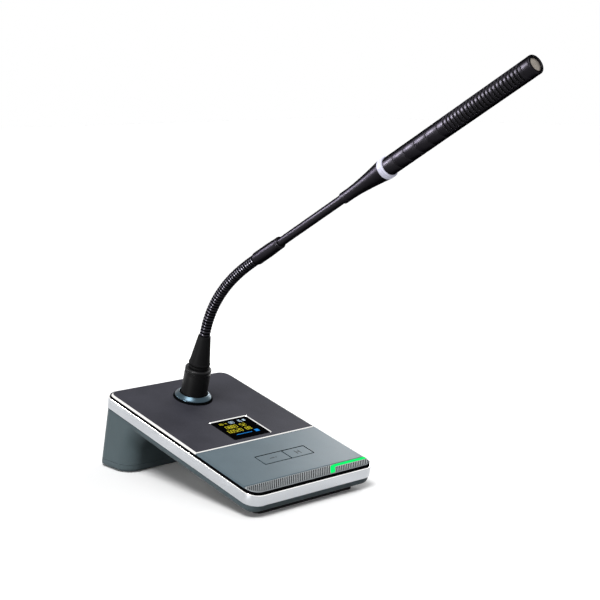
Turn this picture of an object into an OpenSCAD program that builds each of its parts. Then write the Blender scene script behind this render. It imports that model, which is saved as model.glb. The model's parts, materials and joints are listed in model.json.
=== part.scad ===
// Desk conference microphone: a wedge base on a rear foot, a sloping two-tone
// top, a plug-in ribbed gooseneck and a slotted line microphone.
// Millimetres. +Z is up, the speaker sits on the -Y side, +X is to the right.
// The origin is on the table, in the middle of the rubber pad under the foot.
// Slab coordinates: x across, y up the slope from the panel's front edge,
// z square to the panel, zero on its surface.

/* [Base] */
// Width over the trim band
base_w = 130; // [124:1:140]
// Length over the trim band, up the slope
base_l = 200; // [194:1:210]
// Slope of the top panels, degrees
tilt = 13.1; // [11:0.1:15]
// Corner radius of the trim band
corner_r = 11.5; // [9:0.5:14]
// Height of the panels' front edge above the table
front_height = 21.4; // [20.8:0.2:24]
// Depth of the slab, from the panels' surface to its underside
slab_depth = 18.5; // [17.5:0.5:19]
// Radius of the moulded edge under the slab
under_edge_r = 5; // [2:0.5:5]
// Wall thickness of the mouldings
wall = 2.2; // [1.8:0.1:2.4]

/* [Trim band] */
// Height of the band
band_h = 10; // [8:0.5:11]
// Thickness of the band
band_t = 1.2; // [1:0.1:1.3]
// Drop from the panels' surface to the band's top edge
band_drop = 1.3; // [0.8:0.1:1.6]
// Dark gap between the band and the panels
shadow_gap = 1; // [0.6:0.1:1.2]

/* [Rear foot] */
// Length of the foot up the slope
foot_l = 43; // [40:1:48]
// Radius of the hollow between the foot and the slab's underside
foot_fillet = 20; // [12:1:24]
// Height of the foot cover's seam above the table
cover_seam = 6.8; // [6:0.2:8]

/* [Top panels] */
// Thickness of the panels
panel_t = 1.7; // [1.4:0.1:1.9]
// Depth of the speaker grille strip
grille_l = 11.4; // [10:0.2:13]
// Length of the front panel
front_panel_l = 60.9; // [58:0.1:64]
// Bright cut along the rear panel's edges
edge_cut = 0.6; // [0.3:0.1:0.8]

/* [Display] */
// Width of the display window
display_w = 38; // [34:0.5:40]
// Length of the display window, up the slope
display_l = 33.4; // [30:0.2:35]
// Middle of the window, right of the centre line
display_x = 1; // [0:0.5:3]
// Middle of the window, up the slope
display_y = 95.2; // [92:0.2:100]

/* [Keys] */
// Width of the opening that the two keys share
keys_w = 52; // [46:1:56]
// Length of the keys' opening, up the slope
keys_l = 14.6; // [12:0.2:16]
// Middle of the opening, right of the centre line
keys_x = 2.6; // [0:0.2:4]
// Middle of the opening, up the slope
keys_y = 40.7; // [36:0.1:44]
// Split between the keys, right of the centre line
keys_split = 4.6; // [0:0.2:6]
// Travel of a key
key_travel = 0.8; // [0.4:0.1:0.8]

/* [Microphone socket] */
// Place of the socket up the slope
socket_y = 159; // [156:0.5:162]
// Forward lean of the socket from the panel's normal, degrees
socket_lean = 4; // [0:0.5:5]
// Diameter of the lock nut
nut_d = 22.5; // [20:0.5:23]
// Flutes around the lock nut
nut_flutes = 40; // [24:2:48]
// Height of the boot's base above the panel, along the plug
boot_base = 32.3; // [31:0.1:34]
// Length of the tapered boot
boot_l = 26.3; // [24:0.1:30]

/* [Gooseneck] */
// Length of the ribbed neck between the boot and the coupler
neck_l = 101.4; // [90:0.1:110]
// Diameter over the ribs
neck_d = 9.1; // [8.8:0.1:9.3]
// Diameter between the ribs
neck_core_d = 7.9; // [7.6:0.1:8]
// Diameter of the neck's bore
neck_bore_d = 4.4; // [3:0.2:5]
// Rise of the straight microphone arm above the level, degrees
arm_rise = 29; // [22:0.2:36]
// Straight start of the neck above the boot
neck_straight = 2; // [1:0.5:8]
// How soon the neck bends over: 1 is an even arc
neck_ease = 1.6; // [1:0.1:2]

/* [Microphone arm] */
// Length of the coupler sleeve
coupler_l = 33.2; // [32:0.1:40]
// Diameter of the coupler sleeve
coupler_d = 10.5; // [10.3:0.1:12]
// Free length of the thin tube
tube_l = 79.4; // [60:0.2:100]
// Diameter of the thin tube
tube_d = 7.1; // [6.6:0.1:7.4]
// Length of the flared adapter
adapter_l = 48.5; // [44:0.5:54]
// Width of the light ring
ring_l = 5; // [4:0.5:6]
// Diameter of the light ring
ring_d = 16.4; // [15.8:0.1:17.4]

/* [Microphone head] */
// Length of the head, from the light ring to the tip
head_l = 146.8; // [144:0.2:150]
// Diameter of the head
head_d = 13.9; // [13.7:0.1:14.6]
// Slots on each side of the head
slot_count = 22; // [10:1:22]
// Pitch of the slots
slot_pitch = 3.38; // [3:0.01:3.4]
// Width of a slot
slot_w = 1.9; // [1.2:0.1:1.9]

/* [Hidden] */
$fn = 64;
eps = 0.01;
far = 400;

// Colours as the object shows them
shell_blue = [0.30, 0.36, 0.38];
panel_blue = [0.46, 0.53, 0.56];
panel_dark = [0.24, 0.24, 0.27];
band_silver = [0.84, 0.84, 0.86];
rubber_black = [0.06, 0.06, 0.06];
mic_black = [0.08, 0.08, 0.09];
board_green = [0.08, 0.30, 0.18];
steel_grey = [0.62, 0.63, 0.65];
lamp_green = [0.05, 0.95, 0.35];
lamp_white = [0.86, 0.86, 0.95];

// Slab heights and outlines
rim = band_t + shadow_gap;
band_top = -band_drop;
band_low = -band_drop - band_h;
shell_inset = 0.8;
seat_inset = band_t + 0.1;
cavity_inset = seat_inset + wall - 0.2;
floor_top = -slab_depth + wall;
slab_mid = base_l / 2 - rim;
divider = grille_l + front_panel_l;
panel_seam = 0.3;

// Foot: a block square to the slab, level with the shell's sides and rear
foot_rear = base_l - rim - shell_inset;
foot_front = foot_rear - foot_l;
foot_mid = (foot_front + foot_rear) / 2;
foot_half = base_w / 2 - shell_inset;
foot_r = corner_r - shell_inset;
foot_front_r = 14;
// The pad under the foot is centred on the origin
front_reach = foot_mid * cos(tilt) + (front_height + foot_mid * sin(tilt)) * tan(tilt);
foot_pad_h = 0.6;
cover_plate = 2.4;
seam_gap = 0.25;
screw_x = 54;
screw_ys = [-15, 12];
post_d = 6.6;
post_top = 22;
post_rib_t = 1.8;

// Batteries lie side by side across the foot, on the cover's saddles
cell_d = 18.2;
cell_l = 65;
cell_z = 17.2;
cell_mid_y = -cell_z * tan(tilt);
cell_ys = [cell_mid_y - cell_d / 2, cell_mid_y + cell_d / 2];

// Light mark: a bar, and a leg that slants forward from its left end
light_bar_w = 3.6;
light_leg_w = 5;
light_leg_x = 18.4;
light_corner = 27;
light_front = 0.6;
light_rear = grille_l - panel_seam / 2 - 0.1;
light_lean = (light_rear - light_bar_w / 2 - light_front) / (light_corner - light_leg_x);

// Board and what stands on it
board_top = -9;
board_t = 1.6;
board_w = 112;
board_front = 24;
board_rear = 140;
board_post_xs = [-51, 51];
board_post_ys = [29, 135];
key_gap = 0.25;
key_flange = -2.1;
stem_end = -5.2;
switch_top = stem_end - key_travel - 0.3;
plunger_d = 3.5;
glass_drop = 0.4;
glass_low = -1.9;

// Microphone plug
socket_hole_d = 33;
plug_d = 15;
plug_end = -9;
nut_low = 1.2;
nut_top = 28.8;
boot_top = boot_base + boot_l;
boot_base_d = 17.6;
boot_top_d = 10.4;

// Gooseneck: stretches that hinge on each other, four ribs each
neck_start = 90 - tilt - socket_lean;
neck_bend = neck_start - arm_rise;
stretches = 11;
stretch_ribs = 4;
stretch_l = neck_l / stretches;
rib_pitch = stretch_l / stretch_ribs;
neck_tuck = 8;
neck_sides = 12;
// Each rib: where along its pitch, and 0 on the core or 1 on the crest
rib_shape = [[0.2, 0], [0.36, 1], [0.64, 1], [0.8, 0]];

// Stations along the straight arm, from the coupler's lower end
tube_tuck = 9;
tube_seat = coupler_l - tube_tuck - 0.2;
adapter_z = coupler_l + tube_l;
ring_z = adapter_z + adapter_l;
head_z = ring_z + ring_l;
tip_z = head_z + head_l;
cap_l = 7.2;
cap_z = tip_z - cap_l;
head_wall = 1.2;
spigot_d = head_d - 2 * head_wall - 0.1;
groove_first = 11.6;
groove_pitch = 11.7;
groove_count = 5;
slot_first = 65;
// How far the ends of the slots stay from the head's middle plane
slot_reach = 2.4;
// How far the webs between the slots stand back from the ribs
web_step = 0.1;

// Places

module on_slab() {
  translate([0, -front_reach, front_height])
    rotate([tilt, 0, 0])
      children();
}

module on_plug() {
  on_slab()
    translate([0, socket_y, 0])
      rotate([socket_lean, 0, 0])
        children();
}

module on_arm() {
  on_plug()
    translate([0, 0, boot_top])
      rotate([neck_start - 90, 0, 0])
        translate([0, neck_place(neck_l).x, neck_place(neck_l).y])
          rotate([90 - arm_rise, 0, 0])
            children();
}

// Neck curve in the upright plane: [y, z] from the boot's top, for a length s
function neck_heading(s) =
  let (t = min(1, max(0, (s - neck_straight) / (neck_l - neck_straight))))
  neck_start - neck_bend * (1 - pow(1 - t, neck_ease));

function neck_step(s) = [-cos(neck_heading(s)), sin(neck_heading(s))];

function sum_steps(s, n, i = 0) =
  i == n ? [0, 0] : neck_step((i + 0.5) * s / n) * s / n + sum_steps(s, n, i + 1);

function neck_place(s) = sum_steps(s, 40);

// Flat shapes

module rounded_rect(w, l, r) {
  square([w - 2 * r, l], center = true);
  square([w, l - 2 * r], center = true);
  for (x = [-1, 1], y = [-1, 1])
    translate([x * (w / 2 - r), y * (l / 2 - r)])
      circle(r);
}

module slab_outline(inset) {
  translate([0, slab_mid])
    rounded_rect(base_w - 2 * inset, base_l - 2 * inset, corner_r - inset);
}

module panel_outline(low, high) {
  intersection() {
    slab_outline(rim);
    translate([-base_w / 2, low])
      square([base_w, high - low]);
  }
}

// The foot's front corners are rounder than its rear ones
module foot_outline(inset) {
  w = 2 * (foot_half - inset);
  rear_l = foot_rear - inset - foot_mid;
  translate([0, foot_mid])
    rounded_rect(w, foot_l - 2 * inset, foot_front_r - inset);
  translate([0, foot_mid + rear_l / 2])
    rounded_rect(w, rear_l, foot_r - inset);
}

// L-shaped light mark: a bar along the grille's rear edge and a slanted leg
module light_outline(grow = 0) {
  intersection() {
    slab_outline(rim + 0.4 - grow);
    union() {
      translate([light_corner, light_rear - light_bar_w - grow])
        square([base_w / 2 - light_corner, light_bar_w + 2 * grow]);
      translate([light_corner, light_rear - light_bar_w / 2])
        circle(light_bar_w / 2 + grow);
      polygon([
        [light_leg_x - light_leg_w / 2 - grow, light_front - grow],
        [light_leg_x + light_leg_w / 2 + grow, light_front - grow],
        [light_corner + light_leg_w / 2 + grow, light_rear - light_bar_w / 2],
        [light_corner - light_leg_w / 2 - grow, light_rear - light_bar_w / 2]
      ]);
    }
  }
}

// Solids shared by several pieces

module slab_plate(low, high, inset) {
  translate([0, 0, low])
    linear_extrude(high - low)
      slab_outline(inset);
}

// Rounded box whose lower edges are rounded too; its floor is at z = 0
module rounded_pan(w, l, h, r, e) {
  module section(width) {
    translate([-width / 2 + e, 0])
      square([width - 2 * e, h]);
    translate([-width / 2, e])
      square([width, h - e]);
    for (x = [-1, 1])
      translate([x * (width / 2 - e), e])
        circle(e);
  }
  module half_section() {
    intersection() {
      section(2 * r);
      square([r, h]);
    }
  }
  rotate([90, 0, 0])
    linear_extrude(l - 2 * r, center = true)
      section(w);
  rotate([90, 0, 90])
    linear_extrude(w - 2 * r, center = true)
      section(l);
  for (x = [-1, 1], y = [-1, 1])
    translate([x * (w / 2 - r), y * (l / 2 - r), 0])
      rotate_extrude()
        half_section();
}

module below(height) {
  translate([-far / 2, -far, height - far])
    cube([far, 2 * far, far]);
}

// Everything lower than a height, around the foot only
module below_foot(height) {
  translate([-far / 2, -60, height - far])
    cube([far, 120, far]);
}

module above(height) {
  translate([-far / 2, -far, height])
    cube([far, 2 * far, far]);
}

module foot_prism(inset, top) {
  on_slab()
    translate([0, 0, -100])
      linear_extrude(100 + top)
        foot_outline(inset);
}

module at_cover_screws() {
  for (x = [-screw_x, screw_x], y = screw_ys)
    translate([x, y, 0])
      children();
}

module at_board_posts() {
  for (x = board_post_xs, y = board_post_ys)
    translate([x, y, 0])
      children();
}

// A turned piece: its section is a list of [radius, height] points
module turned(section) {
  rotate_extrude()
    polygon(section);
}

module tube(d, bore, low, high) {
  translate([0, 0, low])
    difference() {
      cylinder(d = d, h = high - low);
      translate([0, 0, -eps])
        cylinder(d = bore, h = high - low + 2 * eps);
    }
}

// Base mouldings

// Concave flare between the foot's front face and the slab's underside; its
// rims at the sides are as round as the foot's front corners
module foot_flare() {
  depth = 60;
  lift = slab_depth + band_low;
  intersection() {
    translate([0, foot_front - foot_fillet, -slab_depth - foot_fillet])
      rotate([0, 90, 0])
        rotate_extrude()
          translate([foot_fillet + depth / 2, 0])
            rounded_rect(depth, 2 * foot_half, foot_front_r);
    translate([-foot_half - 1, foot_front - foot_fillet, -slab_depth - foot_fillet])
      cube([2 * foot_half + 2, foot_fillet + foot_front_r, foot_fillet + lift]);
  }
}

// Outside of the shell: pan, seat for the panels, foot and its flare
module shell_body() {
  on_slab() {
    translate([0, slab_mid, -slab_depth])
      rounded_pan(base_w - 2 * shell_inset, base_l - 2 * shell_inset,
        slab_depth + band_low, corner_r - shell_inset, under_edge_r);
    slab_plate(band_low - eps, -panel_t, seat_inset);
    foot_flare();
  }
  foot_prism(0, band_low);
}

// Inside of the shell: the slab's hollow, the foot's, and the way between
module shell_hollow() {
  on_slab() {
    slab_plate(floor_top, 1, cavity_inset);
    translate([0, 0, -slab_depth - wall])
      linear_extrude(3 * wall)
        foot_outline(wall + 4);
  }
  foot_prism(wall, -slab_depth);
}

module bottom_shell() {
  post_l = board_top - board_t - floor_top;
  color(shell_blue)
    difference() {
      union() {
        difference() {
          shell_body();
          shell_hollow();
        }
        on_slab()
          translate([0, 0, floor_top - 1])
            at_board_posts()
              cylinder(d = 6, h = post_l + 1);
        intersection() {
          union() {
            at_cover_screws()
              cylinder(d = post_d, h = post_top);
            for (y = screw_ys, x = [-foot_half, screw_x])
              translate([x, y - post_rib_t / 2, 0])
                cube([foot_half - screw_x, post_rib_t, post_top]);
          }
          foot_prism(0.5, band_low);
        }
      }
      below_foot(cover_seam + seam_gap);
      at_cover_screws()
        cylinder(d = 2.5, h = post_top - 2);
      on_slab()
        translate([0, 0, floor_top])
          at_board_posts()
            cylinder(d = 2, h = post_l + 1);
    }
}

module foot_cover() {
  plate_top = foot_pad_h + cover_plate;
  color(shell_blue)
    difference() {
      union() {
        difference() {
          foot_prism(0, 0);
          difference() {
            foot_prism(wall, 0);
            below(plate_top);
          }
          above(cover_seam);
        }
        at_cover_screws()
          translate([0, 0, foot_pad_h])
            cylinder(d = post_d, h = cover_seam + seam_gap - foot_pad_h);
        difference() {
          for (x = [-22, 22])
            translate([x - 1.5, cell_mid_y - cell_d + 1, plate_top - eps])
              cube([3, 2 * cell_d - 2, cell_z - plate_top - 4]);
          battery_cells(0.05);
        }
      }
      below(foot_pad_h);
      translate([0, 0, foot_pad_h - eps])
        linear_extrude(0.6 + eps)
          rounded_rect(92.3, 30.3, 5.15);
      at_cover_screws() {
        cylinder(d = 3.3, h = far);
        cylinder(d = 6, h = foot_pad_h + 1.8);
      }
    }
}

module rear_pad() {
  color(rubber_black)
    linear_extrude(foot_pad_h + 0.6)
      rounded_rect(92, 30, 5);
}

module front_pad() {
  color(rubber_black)
    difference() {
      on_slab()
        translate([0, 10.5, -slab_depth - 20])
          linear_extrude(20)
            rounded_rect(100, 10, 4.5);
      below(0);
    }
}

module cover_screws() {
  head_low = foot_pad_h + 0.4;
  head_high = foot_pad_h + 1.8;
  color(steel_grey)
    at_cover_screws()
      difference() {
        union() {
          translate([0, 0, head_low])
            cylinder(d = 5.4, h = head_high - head_low);
          translate([0, 0, head_low])
            cylinder(d = 2.4, h = 14);
        }
        for (turn = [0, 90])
          rotate(turn)
            translate([-1.6, -0.35, head_low - eps])
              cube([3.2, 0.7, 0.8]);
      }
}

module trim_band() {
  color(band_silver)
    on_slab()
      difference() {
        slab_plate(band_low, band_top, 0);
        slab_plate(band_low - 1, band_top + 1, band_t);
      }
}

// Top panels

// Plate with a bright cut along its upper edges
module cut_plate(low, high) {
  cut = edge_cut;
  hull() {
    translate([0, 0, -panel_t])
      linear_extrude(panel_t - cut)
        panel_outline(low, high, $fn = 48);
    translate([0, 0, -panel_t])
      linear_extrude(panel_t)
        intersection() {
          slab_outline(rim + cut, $fn = 48);
          translate([-base_w / 2, low + cut])
            square([base_w, high - low - 2 * cut]);
        }
  }
}

// Cutter for the display window, wider at the surface
module window_cut() {
  w = display_w + 0.3;
  l = display_l + 0.3;
  translate([display_x, display_y, 0]) {
    translate([0, 0, -panel_t - 1])
      linear_extrude(panel_t + 2)
        rounded_rect(w, l, 2);
    hull() {
      translate([0, 0, -edge_cut])
        linear_extrude(eps)
          rounded_rect(w, l, 2, $fn = 32);
      translate([0, 0, eps])
        linear_extrude(1)
          rounded_rect(w + 2 * edge_cut, l + 2 * edge_cut, 2 + edge_cut, $fn = 32);
    }
  }
}

module rear_panel() {
  color(panel_dark)
    on_slab()
      difference() {
        cut_plate(divider + panel_seam / 2, base_l);
        window_cut();
        translate([0, socket_y, -panel_t - 1])
          cylinder(d = socket_hole_d, h = panel_t + 2);
      }
}

module front_panel() {
  color(panel_blue)
    on_slab()
      difference() {
        translate([0, 0, -panel_t])
          linear_extrude(panel_t)
            panel_outline(grille_l + panel_seam / 2, divider - panel_seam / 2);
        translate([keys_x, keys_y, -panel_t - 1])
          linear_extrude(panel_t + 2)
            rounded_rect(keys_w, keys_l, 1.2);
      }
}

// Slots of the grille follow its rounded corners, and stop short of the light
// mark, before and behind its leg
module grille_slots() {
  pitch = 1.9;
  slot = 0.95;
  web = 0.8;
  margin = 1.2;
  rear = grille_l - margin - 0.2;
  half = base_w / 2 - rim;
  r = corner_r - rim;
  count = floor((half - 2) / pitch);
  for (i = [-count : count]) {
    x = i * pitch;
    past = max(0, abs(x) + slot / 2 - half + r);
    front = margin + r - sqrt(r * r - past * past);
    leg_low = light_front + light_lean * (x - light_leg_x - light_leg_w / 2);
    leg_high = light_front + light_lean * (x - light_leg_x + light_leg_w / 2);
    stop = min(light_rear - light_bar_w, leg_low - slot / 2) - web;
    start = max(front, leg_high + slot / 2 + web);
    translate([x - slot / 2, 0, -panel_t - 1]) {
      if (stop - front > slot)
        translate([0, front, 0])
          cube([slot, stop - front, panel_t + 2]);
      if (x < light_leg_x && rear - start > slot)
        translate([0, start, 0])
          cube([slot, rear - start, panel_t + 2]);
    }
  }
}

module speaker_grille() {
  color(panel_blue)
    on_slab()
      difference() {
        translate([0, 0, -panel_t])
          linear_extrude(panel_t)
            panel_outline(-rim, grille_l - panel_seam / 2);
        translate([0, 0, -panel_t - 1])
          linear_extrude(panel_t + 2)
            light_outline(0.1);
        grille_slots();
      }
}

// The guide's flange bears on the underside of the grille
module light_guide() {
  flange_t = 0.8;
  color(lamp_green)
    on_slab() {
      translate([0, 0, -panel_t])
        linear_extrude(panel_t)
          light_outline();
      translate([0, 0, -panel_t - flange_t])
        linear_extrude(flange_t + eps)
          intersection() {
            light_outline(0.5);
            slab_outline(cavity_inset + 0.3);
          }
    }
}

module speaker_driver() {
  w = 40;
  l = 9.4;
  h = 6;
  color(mic_black)
    on_slab()
      translate([-14, grille_l / 2 + 0.6, -panel_t - h])
        difference() {
          linear_extrude(h)
            rounded_rect(w, l, 2);
          translate([0, 0, h - 1.4])
            linear_extrude(2)
              rounded_rect(w - 3, l - 2.4, 1.4);
        }
}

// Keys

module key(left, right) {
  w = right - left - 2 * key_gap;
  l = keys_l - 2 * key_gap;
  mid = (left + right) / 2;
  color(panel_blue)
    on_slab()
      translate([mid, keys_y, 0]) {
        translate([0, 0, key_flange - eps])
          linear_extrude(-key_flange + eps)
            rounded_rect(w, l, 1);
        translate([0, 0, key_flange - 1])
          linear_extrude(1)
            rounded_rect(w, l + 3, 1);
        translate([0, 0, stem_end])
          cylinder(d = 5, h = key_flange - stem_end);
      }
}

module plunger(mid) {
  color(rubber_black)
    on_slab()
      translate([mid, keys_y, stem_end - 2.2])
        cylinder(d = plunger_d, h = 2.2);
}

keys_left = keys_x - keys_w / 2;
keys_right = keys_x + keys_w / 2;

module key_left() {
  key(keys_left, keys_split + key_gap / 2);
}

module key_right() {
  key(keys_split - key_gap / 2, keys_right);
}

module plunger_left() {
  plunger((keys_left + keys_split + key_gap / 2) / 2);
}

module plunger_right() {
  plunger((keys_right + keys_split - key_gap / 2) / 2);
}

module key_switches() {
  color(steel_grey)
    on_slab()
      for (mid = [(keys_left + keys_split + key_gap / 2) / 2,
          (keys_right + keys_split - key_gap / 2) / 2])
        translate([mid, keys_y, board_top])
          difference() {
            translate([-3, -3, 0])
              cube([6, 6, switch_top - board_top]);
            translate([0, 0, 0.4])
              cylinder(d = plunger_d + 0.2, h = 6);
          }
}

// Electronics

module display_glass() {
  color(rubber_black)
    on_slab()
      translate([display_x, display_y, glass_low])
        linear_extrude(-glass_drop - glass_low)
          rounded_rect(display_w, display_l, 1.9);
}

module display_module() {
  color(steel_grey)
    on_slab()
      translate([display_x, display_y, 0]) {
        translate([0, 0, glass_low - 3])
          linear_extrude(3)
            rounded_rect(display_w + 2, display_l + 2, 1);
        for (x = [-15, 15], y = [-13, 13])
          translate([x, y, board_top])
            cylinder(d = 3.4, h = glass_low - 3 - board_top + eps);
      }
}

module main_board() {
  board_l = board_rear - board_front;
  color(board_green)
    on_slab()
      translate([0, 0, board_top - board_t])
        difference() {
          union() {
            translate([-board_w / 2, board_front, 0])
              cube([board_w, board_l, board_t]);
            translate([-40, 104, board_t - eps])
              cube([18, 26, 2.4]);
            translate([28, 66, board_t - eps])
              cube([12, 12, 1.2]);
            translate([-46, 62, board_t - eps])
              cube([14, 7, 4]);
            translate([20, 120, board_t - eps])
              cube([22, 8, 4.5]);
          }
          at_board_posts()
            translate([0, 0, -1])
              cylinder(d = 2.6, h = board_t + 2);
        }
}

module board_screws() {
  color(steel_grey)
    on_slab()
      at_board_posts()
        translate([0, 0, board_top]) {
          cylinder(d = 4.6, h = 1.6);
          translate([0, 0, -6])
            cylinder(d = 1.9, h = 6 + eps);
        }
}

module battery_cells(grow = 0) {
  for (y = cell_ys)
    translate([-cell_l / 2, y, cell_z])
      rotate([0, 90, 0])
        cylinder(d = cell_d + 2 * grow, h = cell_l);
}

module battery_pack() {
  color([0.16, 0.30, 0.55]) {
    battery_cells();
    translate([-cell_l / 2, cell_mid_y - cell_d / 4, cell_z - cell_d / 4])
      cube([cell_l, cell_d / 2, cell_d / 2]);
    for (y = cell_ys)
      translate([cell_l / 2 - eps, y, cell_z])
        rotate([0, 90, 0])
          cylinder(d = 5.6, h = 1.4);
  }
}

// Socket and plug

module pin_circle() {
  for (turn = [0 : 45 : 315])
    rotate(turn)
      translate([4.4, 0, 0])
        children();
}

module socket_body() {
  color(rubber_black)
    difference() {
      on_slab()
        translate([0, socket_y, 0]) {
          translate([0, 0, -panel_t - 2.4])
            cylinder(d = 38, h = 2.4);
          translate([0, 0, -15.4])
            cylinder(d = 25, h = 13);
        }
      on_plug() {
        translate([0, 0, plug_end])
          cylinder(d = plug_d + 0.1, h = far);
        translate([0, 0, plug_end - 4.6])
          pin_circle()
            cylinder(d = 1.3, h = 5);
      }
    }
}

// Ring that rises from the panel's hole in a cone to a lip round the lock nut
module socket_bezel() {
  ring_in = nut_d / 2 + 0.8;
  ring_out = socket_hole_d / 2 - 0.3;
  lip = 5.2;
  color(steel_grey)
    on_slab()
      translate([0, socket_y, 0])
        turned([
          [ring_in, -panel_t], [ring_out, -panel_t], [ring_out, 0.8],
          [ring_out - 0.5, 1.6], [ring_out - 0.5, 2.2], [ring_out - 0.9, 2.7],
          [ring_in + 1, lip], [ring_in + 0.4, lip], [ring_in, lip - 0.5]
        ]);
}

module plug_body() {
  r = plug_d / 2;
  collar = boot_base_d / 2;
  color(mic_black)
    on_plug()
      turned([
        [0, plug_end], [r, plug_end], [r, nut_top + 0.3],
        [collar - 0.5, nut_top + 0.3], [collar, nut_top + 0.8],
        [collar, boot_base - 0.6], [collar - 0.6, boot_base - 0.6],
        [collar - 0.6, boot_base], [0, boot_base]
      ]);
}

module plug_pins() {
  color([0.80, 0.66, 0.32])
    on_plug()
      translate([0, 0, plug_end - 4.2])
        pin_circle()
          cylinder(d = 1, h = 4.2);
}

module lock_nut() {
  r = nut_d / 2;
  bore = plug_d / 2 + 0.1;
  flute = 0.55;
  color(mic_black)
    on_plug()
      difference() {
        turned([
          [bore, nut_low], [r - 0.9, nut_low], [r, nut_low + 0.9],
          [r, nut_top - 3.4], [r - 0.7, nut_top - 3.1],
          [r - 0.7, nut_top - 2.5], [r - 0.1, nut_top - 2.2],
          [r - 0.1, nut_top - 0.7], [r - 0.8, nut_top], [bore, nut_top]
        ]);
        for (i = [0 : nut_flutes - 1])
          rotate(i * 360 / nut_flutes)
            translate([r + 0.15, 0, nut_low + 2.4])
              rotate(45)
                translate([-flute / 2, -flute / 2, 0])
                  cube([flute, flute, nut_top - nut_low - 6.6]);
      }
}

module boot() {
  tuck = neck_core_d / 2 + 0.15;
  color(mic_black)
    on_plug()
      turned([
        [neck_bore_d / 2, boot_base], [boot_base_d / 2, boot_base],
        [boot_base_d / 2 + 0.4, boot_base + 0.4], [boot_base_d / 2 + 0.4, boot_base + 1.2],
        [boot_base_d / 2 - 0.1, boot_base + 1.7],
        [boot_top_d / 2, boot_top - 0.6], [boot_top_d / 2 - 0.5, boot_top],
        [tuck, boot_top], [tuck, boot_top - neck_tuck],
        [neck_bore_d / 2, boot_top - neck_tuck]
      ]);
}

// Gooseneck

function neck_ring(s, r) =
  let (place = neck_place(s), h = neck_heading(s))
  [for (i = [0 : neck_sides - 1])
    let (a = i * 360 / neck_sides)
    [r * cos(a), place.x + r * sin(a) * sin(h), place.y + r * sin(a) * cos(h)]];

// Outer stations of a stretch, as [length along the neck, radius]
function stretch_stations(k) =
  [for (i = [0 : stretch_ribs - 1], shape = rib_shape)
    [k * stretch_l + (i + shape[0]) * rib_pitch,
      (neck_core_d + shape[1] * (neck_d - neck_core_d)) / 2]];

function stretch_rings(k) =
  let (ribs = stretch_stations(k),
    tail = k == 0 ? [[-neck_tuck, neck_core_d / 2]] : [],
    nose = k == stretches - 1 ? [[neck_l + neck_tuck, neck_core_d / 2]] : [],
    outer = concat(tail, ribs, nose),
    first = outer[0][0],
    last = outer[len(outer) - 1][0],
    bore = [for (t = [1, 0.5, 0]) [first + t * (last - first), neck_bore_d / 2]])
  concat(outer, bore);

module neck_stretch(k) {
  stations = stretch_rings(k);
  m = len(stations);
  n = neck_sides;
  points = [for (p = stations, q = neck_ring(p[0], p[1])) q];
  corner = function(i, j) (i % m) * n + j % n;
  faces = [for (i = [0 : m - 1], j = [0 : n - 1], half = [0, 1])
    half == 0
      ? [corner(i, j), corner(i + 1, j), corner(i + 1, j + 1)]
      : [corner(i, j), corner(i + 1, j + 1), corner(i, j + 1)]];
  color(mic_black)
    on_plug()
      translate([0, 0, boot_top])
        rotate([neck_start - 90, 0, 0])
          polyhedron(points, faces);
}

// Microphone arm

module neck_coupler() {
  r = coupler_d / 2;
  thin = r - 0.5;
  tuck = neck_core_d / 2 + 0.15;
  tube_bore = tube_d / 2 + 0.05;
  color(mic_black)
    on_arm()
      turned([
        [tuck, 0], [r - 0.5, 0], [r, 0.5], [r, coupler_l / 2],
        [thin, coupler_l - 4], [thin, coupler_l - 2.6],
        [thin - 0.25, coupler_l - 2.4], [thin - 0.25, coupler_l - 1.9],
        [thin, coupler_l - 1.7], [thin, coupler_l - 0.6], [thin - 0.5, coupler_l],
        [tube_bore, coupler_l], [tube_bore, tube_seat], [neck_bore_d / 2, tube_seat],
        [neck_bore_d / 2, neck_tuck], [tuck, neck_tuck]
      ]);
}

module upper_tube() {
  color(mic_black)
    on_arm()
      tube(tube_d, tube_d - 1.8, tube_seat, adapter_z + tube_tuck);
}

// Flared sleeve with a grooved collar at its thin end
module head_adapter() {
  collar_r = tube_d / 2 + 0.9;
  collar_l = 8.4;
  rim_r = ring_d / 2 - 0.15;
  tube_bore = tube_d / 2 + 0.05;
  flare_l = adapter_l - collar_l;
  flare = [for (t = [0 : 0.1 : 1])
    [collar_r + (rim_r - collar_r) * pow(t, 1.5), adapter_z + collar_l + t * flare_l]];
  color(mic_black)
    on_arm()
      turned(concat(
        [
          [tube_bore, adapter_z], [collar_r - 0.4, adapter_z],
          [collar_r, adapter_z + 0.4], [collar_r, adapter_z + 5],
          [collar_r - 0.3, adapter_z + 5.2], [collar_r - 0.3, adapter_z + 6],
          [collar_r, adapter_z + 6.2]
        ],
        flare,
        [
          [spigot_d / 2, ring_z], [spigot_d / 2, head_z + 8], [4.4, head_z + 8],
          [4.4, ring_z - 6], [2.4, ring_z - 14], [2.4, adapter_z + tube_tuck],
          [tube_bore, adapter_z + tube_tuck]
        ]
      ));
}

module light_ring() {
  r = ring_d / 2;
  bore = spigot_d / 2 + 0.05;
  color(lamp_white)
    on_arm()
      turned([
        [bore, ring_z], [r - 0.4, ring_z], [r, ring_z + 0.4],
        [r, head_z - 0.4], [r - 0.4, head_z], [bore, head_z]
      ]);
}

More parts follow.
